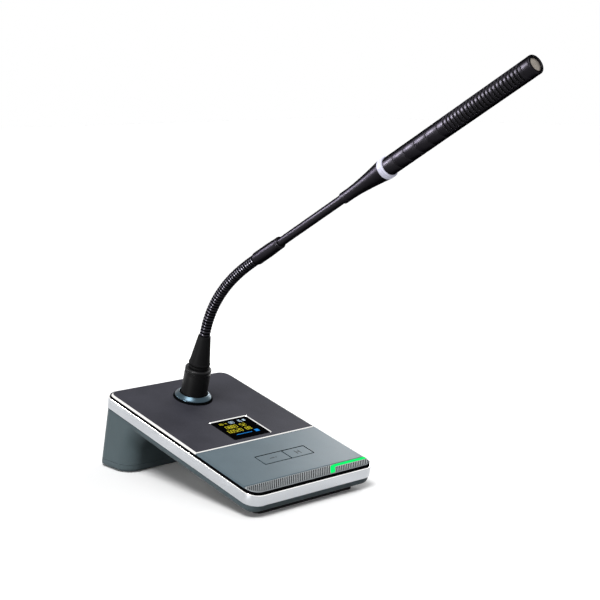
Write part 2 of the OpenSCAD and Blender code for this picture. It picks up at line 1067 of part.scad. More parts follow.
// Slotted tube: ring grooves near the light, sawn slots on both sides
module head_tube() {
  r = head_d / 2;
  bore = r - head_wall;
  depth = 0.35;
  grooves = [for (i = [0 : groove_count - 1])
    let (z = head_z + groove_first + i * groove_pitch)
    each [[r, z - 0.5], [r - depth, z - 0.3], [r - depth, z + 0.3], [r, z + 0.5]]];
  half = slot_w / 2;
  slots = [for (i = [0 : slot_count - 1]) head_z + slot_first + i * slot_pitch];
  out = r - web_step;
  in = bore + web_step;
  webs_outside = [for (z = slots)
    each [[r, z - half], [out, z - half], [out, z + half], [r, z + half]]];
  webs_inside = [for (i = [slot_count - 1 : -1 : 0])
    let (z = slots[i])
    each [[bore, z + half], [in, z + half], [in, z - half], [bore, z - half]]];
  color(mic_black)
    on_arm()
      difference() {
        rotate([0, 0, 90])
          turned(concat(
            [[bore, head_z], [r - 0.3, head_z], [r, head_z + 0.3]],
            grooves,
            webs_outside,
            [[r, cap_z - 0.4], [r - 0.3, cap_z - 0.1], [r - 0.3, cap_z], [bore, cap_z]],
            webs_inside
          ));
        for (z = slots, side = [0, 180])
          rotate([0, 0, side])
            translate([slot_reach, -r - 1, z - half])
              cube([r, 2 * r + 2, slot_w]);
      }
}

module slot_liner() {
  outer = head_d - 2 * head_wall - 0.2;
  color([0.03, 0.03, 0.03])
    on_arm()
      tube(outer, outer - 1, head_z + slot_first - 3.5, tip_z - 2);
}

module capsule() {
  color(steel_grey)
    on_arm()
      translate([0, 0, head_z + slot_first - 12.5])
        cylinder(d = 9.6, h = 6);
}

module capsule_holder() {
  outer = head_d - 2 * head_wall - 0.2;
  low = head_z + slot_first - 14;
  color(rubber_black)
    on_arm()
      difference() {
        tube(outer, 6, low, head_z + slot_first - 3.5);
        translate([0, 0, low + 1.5])
          cylinder(d = 9.7, h = far);
      }
}

module end_cap() {
  r = head_d / 2;
  hole = r - 2.1;
  color(mic_black)
    on_arm()
      turned([
        [r - head_wall, cap_z], [r, cap_z], [r, tip_z - 0.7], [r - 0.7, tip_z],
        [hole + 0.3, tip_z], [hole, tip_z - 0.3], [hole, tip_z - 1.2],
        [r - head_wall, tip_z - 1.2]
      ]);
}

module end_mesh() {
  color([0.55, 0.52, 0.48])
    on_arm()
      translate([0, 0, tip_z - 2])
        cylinder(d = head_d - 2 * head_wall - 0.2, h = 0.8);
}

bottom_shell();
foot_cover();
rear_pad();
front_pad();
cover_screws();
trim_band();
rear_panel();
front_panel();
speaker_grille();
light_guide();
speaker_driver();
key_left();
key_right();
plunger_left();
plunger_right();
key_switches();
display_glass();
display_module();
main_board();
board_screws();
battery_pack();
socket_body();
socket_bezel();
plug_body();
plug_pins();
lock_nut();
boot();
neck_stretch(0);  // neck_01
neck_stretch(1);  // neck_02
neck_stretch(2);  // neck_03
neck_stretch(3);  // neck_04
neck_stretch(4);  // neck_05
neck_stretch(5);  // neck_06
neck_stretch(6);  // neck_07
neck_stretch(7);  // neck_08
neck_stretch(8);  // neck_09
neck_stretch(9);  // neck_10
neck_stretch(10);  // neck_11
neck_coupler();
upper_tube();
head_adapter();
light_ring();
head_tube();
slot_liner();
capsule();
capsule_holder();
end_cap();
end_mesh();
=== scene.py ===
"""Finished look of a desk conference microphone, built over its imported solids."""

import json
import math

import bmesh
import bpy
from mathutils import Matrix, Vector

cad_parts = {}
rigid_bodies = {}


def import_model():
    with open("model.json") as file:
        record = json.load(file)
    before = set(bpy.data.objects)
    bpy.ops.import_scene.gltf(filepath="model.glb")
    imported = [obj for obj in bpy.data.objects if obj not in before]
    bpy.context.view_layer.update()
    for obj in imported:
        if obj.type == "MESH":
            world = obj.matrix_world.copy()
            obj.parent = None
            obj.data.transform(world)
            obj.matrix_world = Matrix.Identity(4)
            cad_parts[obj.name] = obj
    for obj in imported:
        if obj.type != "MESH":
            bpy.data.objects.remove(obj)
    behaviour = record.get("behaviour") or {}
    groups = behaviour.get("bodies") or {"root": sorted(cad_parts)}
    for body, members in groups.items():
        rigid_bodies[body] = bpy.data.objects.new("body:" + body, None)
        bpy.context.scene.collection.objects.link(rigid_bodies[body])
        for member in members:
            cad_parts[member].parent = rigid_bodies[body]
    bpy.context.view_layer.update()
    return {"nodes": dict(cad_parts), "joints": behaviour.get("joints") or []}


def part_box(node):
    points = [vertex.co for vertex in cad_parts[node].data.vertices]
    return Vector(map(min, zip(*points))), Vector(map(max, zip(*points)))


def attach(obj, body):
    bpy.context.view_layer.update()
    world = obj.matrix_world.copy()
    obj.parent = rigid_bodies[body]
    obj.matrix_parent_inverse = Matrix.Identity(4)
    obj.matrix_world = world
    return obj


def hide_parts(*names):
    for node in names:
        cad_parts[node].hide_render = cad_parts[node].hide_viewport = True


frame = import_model()

bl_info = {
    "name": "Desk conference microphone",
    "version": (1, 0, 0),
    "blender": (4, 5, 0),
    "location": "3D View > Sidebar > Desk microphone",
    "description": "Builds the finished pieces of a desk microphone on a gooseneck",
    "category": "Object",
}

# The frame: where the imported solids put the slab, the plug, the neck and the arm

MM = 0.001
JOINTS = {joint["name"]: joint for joint in frame["joints"]}
ACROSS = Vector((1, 0, 0))


def axes(origin, up):
    """Own axes of a part of the object, in mm: x across, z along the given direction."""
    turn = Matrix((ACROSS, up.cross(ACROSS), up)).transposed().to_4x4()
    return Matrix.Translation(origin) @ turn @ Matrix.Scale(MM, 4)


def middle(node):
    """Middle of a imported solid's box."""
    low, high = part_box(node)
    return (low + high) / 2


def span(node, own_axes):
    """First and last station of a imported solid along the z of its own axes, in mm."""
    back = own_axes.inverted()
    stations = [(back @ vertex.co).z for vertex in frame["nodes"][node].data.vertices]
    return min(stations), max(stations)


SLAB_UP = -Vector(JOINTS["key_left_press"]["axis"]).normalized()
SLAB_SLOPE = SLAB_UP.cross(ACROSS)
SOCKET = Vector(JOINTS["lock_nut_turn"]["pos_m"])
GRILLE_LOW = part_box("speaker_grille")[0]
SLAB_ZERO = SOCKET + SLAB_SLOPE * ((GRILLE_LOW.y - SOCKET.y) / SLAB_SLOPE.y)
SLAB = axes(SLAB_ZERO, SLAB_UP)
SOCKET_V = (SLAB.inverted() @ SOCKET).y

PLUG_UP = Vector(JOINTS["lock_nut_turn"]["axis"]).normalized()
PLUG = axes(SOCKET, PLUG_UP)
BOOT_LOW, BOOT_TOP = span("boot", PLUG)
NUT_LOW, NUT_TOP = span("lock_nut", PLUG)

ARM_UP = (middle("end_mesh") - middle("light_ring")).normalized()
RING_AXES = axes(middle("light_ring"), ARM_UP)
ARM_ZERO = middle("light_ring") + ARM_UP * (span("neck_coupler", RING_AXES)[0] * MM)
ARM = axes(ARM_ZERO, ARM_UP)
COUPLER_TOP = span("neck_coupler", ARM)[1]
ADAPTER_LOW = span("head_adapter", ARM)[0]
RING_LOW, RING_TOP = span("light_ring", ARM)
RING_MID = 0.4 * RING_LOW + 0.6 * RING_TOP
CAP_LOW, TIP = span("end_cap", ARM)

# Joints along the neck in order, and the points that its middle line passes
NECK_JOINTS = [JOINTS[f"neck_{kind}_{i}"] for i in range(1, 6) for kind in ("bend", "sway")]
NECK_POINTS = [PLUG @ Vector((0, 0, BOOT_TOP))]
NECK_POINTS += [Vector(joint["pos_m"]) for joint in NECK_JOINTS]
NECK_POINTS.append(ARM_ZERO)
STRETCH = (NECK_POINTS[5] - NECK_POINTS[4]).length / MM
STRETCHES = len(NECK_POINTS) - 1


def tint(red, green, blue):
    """Colour as the shaders take it, from the 0 to 255 values of a picture."""
    return tuple(
        c / 12.92 if c <= 0.04045 else ((c + 0.055) / 1.055) ** 2.4
        for c in (red / 255, green / 255, blue / 255)
    )


def length(label, text, default_mm):
    """Property for a length, given in mm."""
    return bpy.props.FloatProperty(
        name=label,
        description=text,
        default=default_mm * MM,
        min=0.0,
        precision=5,
        unit="LENGTH",
    )


def colour(label, text, default):
    """Property for a colour, given as 0 to 255 values."""
    return bpy.props.FloatVectorProperty(
        name=label,
        description=text,
        default=tint(*default),
        min=0.0,
        max=1.0,
        subtype="COLOR",
    )


class DeskMicSizes(bpy.types.PropertyGroup):
    """Sizes that shape the finished pieces."""

    panel_edge: length("Panel edge", "Width of the bright cut round the dark panel", 1.4)
    divider_edge: length("Divider edge", "Cut edge between the two panels", 0.6)
    window_edge: length("Window edge", "Width of the bright cut round the display", 0.65)
    blue_edge: length("Blue edge", "Rounded edge of the front panel", 1.2)
    key_edge: length("Key edge", "Softened edge of the keys", 0.25)
    foot_rim: length("Foot rim", "Rounded lower rim of the foot", 3.0)
    band_edge: length("Band edge", "Bright upper edge of the silver band", 0.45)
    # The key line is the gap round a key; the walls in it carry the black of painted shade, which
    # makes it dark
    key_line: length("Key line", "Dark line round each key", 0.9)
    knurl_depth: length("Knurl depth", "Depth of the knurl on the lock nut", 0.4)
    neck_d: length("Neck", "Diameter over the ribs of the gooseneck", 9.1)
    neck_core_d: length("Neck core", "Diameter between the ribs of the gooseneck", 8.0)
    groove_depth: length("Ring groove", "Depth of the ring grooves on the head", 0.45)


class DeskMicFinishes(bpy.types.PropertyGroup):
    """Colours of the finishes."""

    shell_plastic: colour("Shell", "Lower moulding and foot", (84, 96, 100))
    dark_panel: colour("Dark panel", "Rear top panel", (57, 57, 64))
    blue_panel: colour("Blue panel", "Front top panel and keys", (86, 101, 109))
    band_metal: colour("Band", "Silver band round the slab", (190, 193, 197))
    bright_cut: colour("Bright cut", "Polished edge of the dark panel", (255, 254, 252))
    bezel_metal: colour("Bezel", "Ring round the socket", (60, 75, 84))
    mic_black: colour("Microphone", "Painted metal of the microphone", (30, 29, 32))
    lamp_green: colour("Green light", "Lit mark in the speaker strip", (10, 186, 84))
    lamp_white: colour("Light ring", "Milky ring below the head", (206, 206, 224))


class DeskMicStage(bpy.types.PropertyGroup):
    """Light and camera."""

    sky: bpy.props.FloatProperty(
        name="Sky", description="Strength of the even light all round", default=0.3, min=0.0
    )
    sun: bpy.props.FloatProperty(
        name="Sun", description="Strength of the soft light from above", default=2.3, min=0.0
    )
    lens: bpy.props.FloatProperty(
        name="Lens", description="Focal length in mm", default=84.0, min=1.0
    )


def sizes():
    """Sizes in mm, by name."""
    group = bpy.context.scene.desk_mic_sizes
    return {name: getattr(group, name) / MM for name in DeskMicSizes.__annotations__}


# Finishes


def wire(tree, node, inputs):
    """Put a value or another node's output on each given input of a node."""
    for socket, value in inputs.items():
        if isinstance(value, bpy.types.NodeSocket):
            tree.links.new(value, node.inputs[socket])
        else:
            node.inputs[socket].default_value = value


def wired(tree, kind, inputs, operation=None):
    """First output, if it has one, of a new node with the given inputs."""
    made = tree.nodes.new(kind)
    if operation:
        made.operation = operation
    wire(tree, made, inputs)
    return next(iter(made.outputs), None)


def maths(tree, operation, *values):
    """Result of a sum with values or other nodes' outputs."""
    return wired(tree, "ShaderNodeMath", dict(enumerate(values)), operation)


def surface_grain():
    """Shared effect: a fine grain and broad clouds in colour and roughness."""
    tree = bpy.data.node_groups.get("surface_grain")
    if tree:
        return tree
    tree = bpy.data.node_groups.new("surface_grain", "ShaderNodeTree")
    kinds = {"Color": "NodeSocketColor", "Stretch": "NodeSocketVector"}
    for way, labels in (
        ("INPUT", ("Color", "Spread", "Roughness", "Rough Spread", "Grain", "Stretch")),
        ("OUTPUT", ("Color", "Roughness", "Height")),
    ):
        for label in labels:
            kind = kinds.get(label, "NodeSocketFloat")
            tree.interface.new_socket(label, in_out=way, socket_type=kind)
    given = tree.nodes.new("NodeGroupInput").outputs
    spot = tree.nodes.new("ShaderNodeTexCoord").outputs["Object"]
    noise = "ShaderNodeTexNoise"
    stretched = wired(tree, "ShaderNodeVectorMath", {0: spot, 1: given["Stretch"]}, "MULTIPLY")
    fine = wired(tree, noise, {"Vector": stretched, "Scale": given["Grain"], "Detail": 3.0})
    broad = wired(tree, noise, {"Vector": spot, "Scale": CLOUD_SCALE, "Detail": 2.0})
    swing = maths(tree, "SUBTRACT", maths(tree, "ADD", fine, broad), 1.0)
    shade = maths(tree, "MULTIPLY_ADD", swing, given["Spread"], 1.0)
    shaded = wired(tree, "ShaderNodeVectorMath", {0: given["Color"], "Scale": shade}, "SCALE")
    rough = maths(tree, "MULTIPLY_ADD", swing, given["Rough Spread"], given["Roughness"])
    wired(tree, "NodeGroupOutput", {"Color": shaded, "Roughness": rough, "Height": fine})
    return tree


CLOUD_SCALE = 40.0
BUMP_DEPTH = 0.1
# Grain settings of each finish; a colour not named here comes from the panel
FINISHES = {
    "shell_plastic": dict(rough=0.5, spec=0.08, spread=0.26, grain=1400, bump=0.25),
    "pad_rubber": dict(base=(24, 24, 25), rough=0.85, spec=0.2, spread=0.2, bump=0.3),
    "band_metal": dict(rough=0.24, metal=1.0, spread=0.07, grain=900, stretch=(1, 0.04, 1)),
    "bright_cut": dict(rough=0.16, metal=1.0, spread=0.04, grain=600),
    "dark_panel": dict(rough=0.5, spec=0.02, spread=0.6, grain=1200, bump=0.2),
    "blue_panel": dict(rough=0.36, spec=0.07, spread=0.3, grain=1300, bump=0.12),
    "key_mark": dict(base=(28, 34, 38), rough=0.5, spec=0.1, spread=0.1),
    "grille_grey": dict(base=(138, 143, 146), rough=0.5, spec=0.1, spread=0.2),
    "black_plastic": dict(base=(24, 24, 25), rough=0.55, spec=0.02, spread=0.2, bump=0.15),
    "nut_black": dict(base=(20, 20, 21), rough=0.38, spec=0.14, spread=0.2),
    # Black of painted shade: it stands in for the shade in gaps, slots, holes, grooves and round
    # the socket
    "painted_shade_black": dict(base=(7, 8, 9), rough=0.8, spec=0.0, spread=0.2),
    "screen_glass": dict(base=(5, 5, 6), rough=0.3, spec=0.0, spread=0.3, rough_spread=0.06),
    "steel": dict(base=(176, 178, 182), rough=0.32, metal=1.0),
    "circuit_board": dict(base=(30, 92, 62), rough=0.4, spread=0.2, grain=700),
    "cell_sleeve": dict(base=(46, 84, 140), rough=0.3, spread=0.1),
    "bezel_metal": dict(rough=0.32, metal=1.0, spread=0.05, rough_spread=0.06),
    "pin_brass": dict(base=(214, 184, 104), rough=0.24, metal=1.0),
    "mic_black": dict(rough=0.36, metal=1.0, dark_rim=True, spread=0.06, rough_spread=0.02),
    "neck_sheath": dict(base=(38, 37, 41), rough=0.3, metal=1.0, dark_rim=True, spread=0.06),
    "cut_metal": dict(base=(112, 110, 116), rough=0.5, metal=1.0, spread=0.1),
    "liner_cloth": dict(base=(10, 10, 10), rough=0.95, spec=0.1, spread=0.4, bump=0.6),
    "mesh_steel": dict(base=(150, 143, 134), rough=0.4, metal=0.7, spread=0.9, grain=1100),
    "lamp_green": dict(rough=0.35, spec=0.0, spread=0.04, glow=0.75),
    "lamp_white": dict(rough=0.35, spec=0.05, spread=0.06, glow=0.25),
    "digit_yellow": dict(base=(170, 160, 40), rough=0.4, spec=0.0, spread=0.1, glow=0.5),
    "digit_white": dict(base=(150, 170, 185), rough=0.4, spec=0.0, spread=0.1, glow=0.5),
    "digit_blue": dict(base=(30, 110, 180), rough=0.4, spec=0.0, spread=0.1, glow=0.5),
}


def finish(name):
    """Material of a finish, made once."""
    made = bpy.data.materials.get("finish_" + name)
    if made:
        return made
    plan = FINISHES[name]
    group = bpy.context.scene.desk_mic_finishes
    base = tint(*plan["base"]) if "base" in plan else getattr(group, name)
    made = bpy.data.materials.new("finish_" + name)
    made.use_nodes = True
    made.diffuse_color = (*base, 1.0)
    tree = made.node_tree
    grain = tree.nodes.new("ShaderNodeGroup")
    grain.node_tree = surface_grain()
    wire(tree, grain, {
        "Color": (*base, 1.0),
        "Spread": plan.get("spread", 0.08),
        "Roughness": plan["rough"],
        "Rough Spread": plan.get("rough_spread", 0.12),
        "Grain": plan.get("grain", 2500),
        "Stretch": plan.get("stretch", (1, 1, 1)),
    })
    look = {
        "Base Color": grain.outputs["Color"],
        "Roughness": grain.outputs["Roughness"],
        "Metallic": plan.get("metal", 0.0),
        "Specular IOR Level": plan.get("spec", 0.5),
    }
    if "dark_rim" in plan:
        look["Specular Tint"] = (0, 0, 0, 1)
    if "glow" in plan:
        look["Emission Color"] = grain.outputs["Color"]
        look["Emission Strength"] = plan["glow"]
    if "bump" in plan:
        look["Normal"] = wired(tree, "ShaderNodeBump", {
            "Strength": plan["bump"],
            "Distance": BUMP_DEPTH * MM,
            "Height": grain.outputs["Height"],
        })
    wire(tree, tree.nodes["Principled BSDF"], look)
    return made


# Making pieces


# Faces whose normal's z is past this lie flat, and are shaded flat
FLAT = 0.9999


def linked(name, data):
    """New object of the scene."""
    made = bpy.data.objects.new(name, data)
    bpy.context.scene.collection.objects.link(made)
    return made


def meshed(name, bm):
    """New object of the scene from a shape, which is used up."""
    mesh = bpy.data.meshes.new(name)
    bm.to_mesh(mesh)
    bm.free()
    return linked(name, mesh)


def place(name, bm, own_axes, finishes, body, nodes=(), crease=32):
    """Put a shape, made in mm in its own axes, into the scene as a finished piece."""
    bm.normal_update()
    for face in bm.faces:
        face.smooth = abs(face.normal.z) < FLAT
    bmesh.ops.transform(bm, matrix=own_axes, verts=bm.verts)
    for edge in bm.edges:
        edge.smooth = edge.calc_face_angle(0.0) < math.radians(crease)
    piece = meshed(name, bm)
    for label in finishes:
        piece.data.materials.append(finish(label))
    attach(piece, body)
    if nodes:
        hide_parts(*nodes)


def rounded(corners, steps):
    """Section from corners, given as radius, station and the rounding if there is one."""
    points = []
    for i, (r, z, *ease) in enumerate(corners):
        here = Vector((r, z))
        if not ease:
            points.append(here)
            continue
        before = Vector(corners[i - 1][:2])
        after = Vector(corners[(i + 1) % len(corners)][:2])
        reach = min(*ease, (before - here).length * 0.49, (after - here).length * 0.49)
        a = here + (before - here).normalized() * reach
        c = here + (after - here).normalized() * reach
        for k in range(steps + 1):
            t = k / steps
            points.append(a.lerp(here, t).lerp(here.lerp(c, t), t))
    return points


def turned(corners, steps=72, ease_steps=5):
    """Shape turned about its own z from the corners of a closed section."""
    bm = bmesh.new()
    ring = [bm.verts.new((p[0], 0, p[1])) for p in rounded(corners, ease_steps)]
    edges = [bm.edges.new((ring[i - 1], ring[i])) for i in range(len(ring))]
    bmesh.ops.spin(
        bm,
        geom=ring + edges,
        cent=(0, 0, 0),
        axis=(0, 0, 1),
        angle=math.tau,
        steps=steps,
        use_merge=True,
    )
    bmesh.ops.remove_doubles(bm, verts=bm.verts, dist=1e-5)
    bmesh.ops.recalc_face_normals(bm, faces=bm.faces)
    return bm


def raised(bm, faces, height, grow=(1.0, 1.0)):
    """Draw flat faces up into a closed shape, and spread them about their middle if asked."""
    made = bmesh.ops.extrude_face_region(bm, geom=faces)["geom"]
    verts = [item for item in made if isinstance(item, bmesh.types.BMVert)]
    bmesh.ops.translate(bm, verts=verts, vec=(0, 0, height))
    if grow != (1.0, 1.0):
        mid = sum((v.co for v in verts), Vector()) / len(verts)
        there = Matrix.Translation(mid)
        bmesh.ops.scale(bm, vec=(*grow, 1), space=there.inverted(), verts=verts)
    bmesh.ops.recalc_face_normals(bm, faces=bm.faces)
    return [item for item in made if isinstance(item, bmesh.types.BMFace)]


def soften(bm, geom, width, segments=3, affect="EDGES"):
    """Round or cut the given edges, or corners of a flat face."""
    bmesh.ops.bevel(
        bm,
        geom=geom,
        offset=width,
        offset_type="OFFSET",
        segments=segments,
        profile=0.5,
        affect=affect,
        clamp_overlap=affect == "EDGES",
        material=-1,
    )


def rounded_face(bm, low, high, station, front_r, rear_r, steps=10):
    """Flat face with rounded corners, at a station along its own z."""
    mid = Vector(((low[0] + high[0]) / 2, (low[1] + high[1]) / 2, station))
    reach = Matrix.Diagonal((high[0] - low[0], high[1] - low[1], 1, 1))
    before = set(bm.faces)
    bmesh.ops.create_grid(
        bm, x_segments=1, y_segments=1, size=0.5, matrix=Matrix.Translation(mid) @ reach
    )
    for radius, sign in ((front_r, -1), (rear_r, 1)):
        corners = [
            v for v in bm.verts
            if v.is_valid and v.link_faces and v.link_faces[0] not in before
            and abs(v.co.x - mid.x) > 0.4999 * (high[0] - low[0])
            and (v.co.y - mid.y) * sign > 0.4999 * (high[1] - low[1])
        ]
        if radius > 0:
            soften(bm, corners, radius, steps, "VERTICES")
    return [face for face in bm.faces if face not in before]


def edges_at(bm, station):
    """Edges that lie flat at a station along z."""
    return [e for e in bm.edges if all(abs(v.co.z - station) < 1e-3 for v in e.verts)]


def block(bm, low, high, bottom, top, front_r, rear_r, steps=10):
    """Add a closed block with rounded corners to a shape."""
    faces = rounded_face(bm, low, high, bottom, front_r, rear_r, steps)
    raised(bm, faces, top - bottom)


def brick(bm, middle_at, reach):
    """Add a plain block to a shape."""
    spot = Matrix.Translation(middle_at)
    bmesh.ops.create_cube(bm, size=1, matrix=spot @ Matrix.Diagonal((*reach, 1)))


def drill(bm, spot, radius, depth, segments):
    """Add a round cutter to a shape."""
    bmesh.ops.create_cone(
        bm,
        cap_ends=True,
        segments=segments,
        radius1=radius,
        radius2=radius,
        depth=depth,
        matrix=Matrix.Translation(spot),
    )


def plate(low, high, bottom, top, front_r, rear_r, edge, segments=3):
    """Closed plate with rounded corners and a softened upper edge."""
    bm = bmesh.new()
    block(bm, low, high, bottom, top, front_r, rear_r)
    if edge > 0:
        rim = [e for e in edges_at(bm, top) if len(e.link_faces) == 2]
        soften(bm, rim, edge, segments)
    return bm


def paint(bm, picks, index=1):
    """Give a finish, by its index, to the faces that a rule picks."""
    for face in bm.faces:
        if picks(face):
            face.material_index = index


def shade_walls(bm, steepest=0.2, index=1):
    """Give a finish, by its index, to the faces that stand upright; here it is always the black
    of painted shade on the walls of gaps, slots and holes.
    """
    paint(bm, lambda face: abs(face.normal.z) <= steepest, index)


def carved(bm, cutter):
    """The shape with another shape taken out of it."""
    pair = (meshed("carved", bm), meshed("cutter", cutter))
    work = pair[0].modifiers.new("carve", "BOOLEAN")
    work.operation = "DIFFERENCE"
    work.solver = "EXACT"
    work.object = pair[1]
    result = bmesh.new()
    result.from_object(pair[0], bpy.context.evaluated_depsgraph_get())
    for helper in pair:
        mesh = helper.data
        bpy.data.objects.remove(helper)
        bpy.data.meshes.remove(mesh)
    return result


def window_cutter(low, high, bottom, radius, edge):
    """Cutter for a window with a sloping edge at the panel's top."""
    bm = bmesh.new()
    faces = rounded_face(bm, low, high, bottom, radius, radius, 6)
    top = raised(bm, faces, -edge - bottom)
    rise = edge + 0.05
    across = high[0] - low[0]
    along = high[1] - low[1]
    raised(bm, top, rise, ((across + 2 * rise) / across, (along + 2 * rise) / along))
    return bm


# Layout of the slab's top in its own axes, in mm

PANEL_HALF = 62.8
PANEL_END = 195.6
PANEL_R = 9.3
PANEL_T = 1.7
DIVIDER = 72.3
GRILLE_END = 11.4
SEAM = 0.3
BAND_HALF = 65.0
BAND_ENDS = (-2.2, 197.8)
BAND_R = 11.5
BAND_LOW = -11.3
BAND_TOP = -2.4
BAND_T = 1.2
# Black strip of painted shade in the gap between the band and the panels: width, foot and top
SHADE_STRIP_W = 1.6
SHADE_STRIP_LOW = -4.0
SHADE_STRIP_TOP = -1.35
WINDOW = ((-18.15, 78.35), (20.15, 112.05))
WINDOW_R = 2.0
GLASS_TOP = -0.4
KEYS = ((-23.4, 33.4), (28.6, 48.0))
KEY_SPLIT = 4.6
SOCKET_R = 16.5
# Printed and lit marks: thickness, and height of their middle over the surface
INK_T = 0.04
INK_AT = 0.015
# How far a cutter goes past the panels' top, up and down
CUT = 3


class DeskMicOperator(bpy.types.Operator):
    """Shared settings of the operators that build the microphone."""

    bl_options = {"REGISTER", "UNDO"}


class DESKMIC_OT_trim_band(DeskMicOperator):
    """Silver band round the slab, and a black strip of painted shade inside it"""

    bl_idname = "deskmic.trim_band"
    bl_label = "Trim band"

    def execute(self, context):
        bm = self.ring(0, BAND_T, BAND_LOW, BAND_TOP)
        soften(bm, edges_at(bm, BAND_TOP), sizes()["band_edge"], 2)
        paint(bm, lambda face: face.normal.z > 0.2)
        place("trim_band_ring", bm, SLAB, ["band_metal", "bright_cut"], "base",
              ["trim_band"])
        # Black strip of painted shade, set in the gap inside the band
        bm = self.ring(BAND_T + 0.02, SHADE_STRIP_W, SHADE_STRIP_LOW, SHADE_STRIP_TOP)
        place("painted_shade_strip", bm, SLAB, ["painted_shade_black"], "base")
        return {"FINISHED"}

    def ring(self, inset, width, low, top):
        """Closed frame that follows the slab's outline, set in from it."""
        bm = bmesh.new()
        first = (-BAND_HALF + inset, BAND_ENDS[0] + inset)
        last = (BAND_HALF - inset, BAND_ENDS[1] - inset)
        radius = BAND_R - inset
        faces = rounded_face(bm, first, last, low, radius, radius, 14)
        bmesh.ops.inset_region(
            bm, faces=faces, thickness=width, use_boundary=True, use_even_offset=True
        )
        bmesh.ops.delete(bm, geom=faces, context="FACES")
        raised(bm, bm.faces[:], top - low)
        return bm


class DESKMIC_OT_panels(DeskMicOperator):
    """Dark rear panel with bright cut edges, and blue front panel"""

    bl_idname = "deskmic.panels"
    bl_label = "Top panels"

    def execute(self, context):
        size = sizes()
        low = (-PANEL_HALF, DIVIDER + SEAM / 2)
        high = (PANEL_HALF, PANEL_END)
        bm = plate(low, high, -PANEL_T, 0, 0, PANEL_R, 0)
        front = low[1] + 1e-3
        rim = [e for e in edges_at(bm, 0) if any(v.co.y > front for v in e.verts)]
        soften(bm, rim, size["panel_edge"], 1)
        divider = [e for e in edges_at(bm, 0) if all(v.co.y < front for v in e.verts)]
        soften(bm, divider, size["divider_edge"], 1)
        bm = carved(bm, window_cutter(*WINDOW, -CUT, WINDOW_R, size["window_edge"]))
        hole = bmesh.new()
        drill(hole, (0, SOCKET_V, 0), SOCKET_R, 2 * CUT, 72)
        bm = carved(bm, hole)
        paint(bm, lambda face: 0.2 < face.normal.z < 0.95)
        # Upright walls of the panel's edge, window and socket hole get the black of painted shade
        shade_walls(bm, index=2)
        finishes = ["dark_panel", "bright_cut", "painted_shade_black"]
        place("rear_top_panel", bm, SLAB, finishes, "base", ["rear_panel"])

        low = (-PANEL_HALF, GRILLE_END + SEAM / 2)
        high = (PANEL_HALF, DIVIDER - SEAM / 2)
        bm = plate(low, high, -PANEL_T, 0, 0, 0, 0)
        side = PANEL_HALF - 0.1
        rim = [e for e in edges_at(bm, 0) if all(abs(v.co.x) > side for v in e.verts)]
        soften(bm, rim, size["blue_edge"], 4)
        gap = bmesh.new()
        block(gap, *KEYS, -CUT, CUT, 0.8, 0.8, 4)
        bm = carved(bm, gap)
        # Upright walls of the panel's edge and of the keys' opening get the black of painted
        # shade
        shade_walls(bm, 0.1)
        finishes = ["blue_panel", "painted_shade_black"]
        place("front_top_panel", bm, SLAB, finishes, "base", ["front_panel"])
        return {"FINISHED"}


class DESKMIC_OT_keys(DeskMicOperator):
    """Two flat keys with their marks"""

    bl_idname = "deskmic.keys"
    bl_label = "Keys"

    def execute(self, context):
        size = sizes()
        line = size["key_line"]
        for side, left, right in (
            ("left", KEYS[0][0] + line, KEY_SPLIT - line / 2),
            ("right", KEY_SPLIT + line / 2, KEYS[1][0] - line),
        ):
            low = (left, KEYS[0][1] + line)
            high = (right, KEYS[1][1] - line)
            bm = plate(low, high, -PANEL_T, 0, 0.7, 0.7, size["key_edge"], 2)
            # The key's sides get the black of painted shade, which shows in the gap round it
            shade_walls(bm)
            name = "key_" + side
            finishes = ["blue_panel", "painted_shade_black"]
            place("key_cap_" + side, bm, SLAB, finishes, name, [name])
            mid = Vector(((left + right) / 2, (low[1] + high[1]) / 2, 0))
            bm = bmesh.new()
            self.mark(bm, side, mid)
            place("key_mark_" + side, bm, SLAB, ["key_mark"], name)
        return {"FINISHED"}

    def mark(self, bm, side, mid):
        """Plain sign on a key: a bar with a dot, or two bars and a link."""
        if side == "left":
            bars = ((-1.2, 0, 4.6, 0.9), (2.6, 0, 1.1, 1.1))
        else:
            bars = ((-1.8, 0, 0.9, 5.6), (0.0, 0.0, 2.8, 0.8), (1.8, 0, 0.9, 5.6))
        for u, v, across, along in bars:
            brick(bm, mid + Vector((u, v, INK_AT)), (across, along, INK_T))


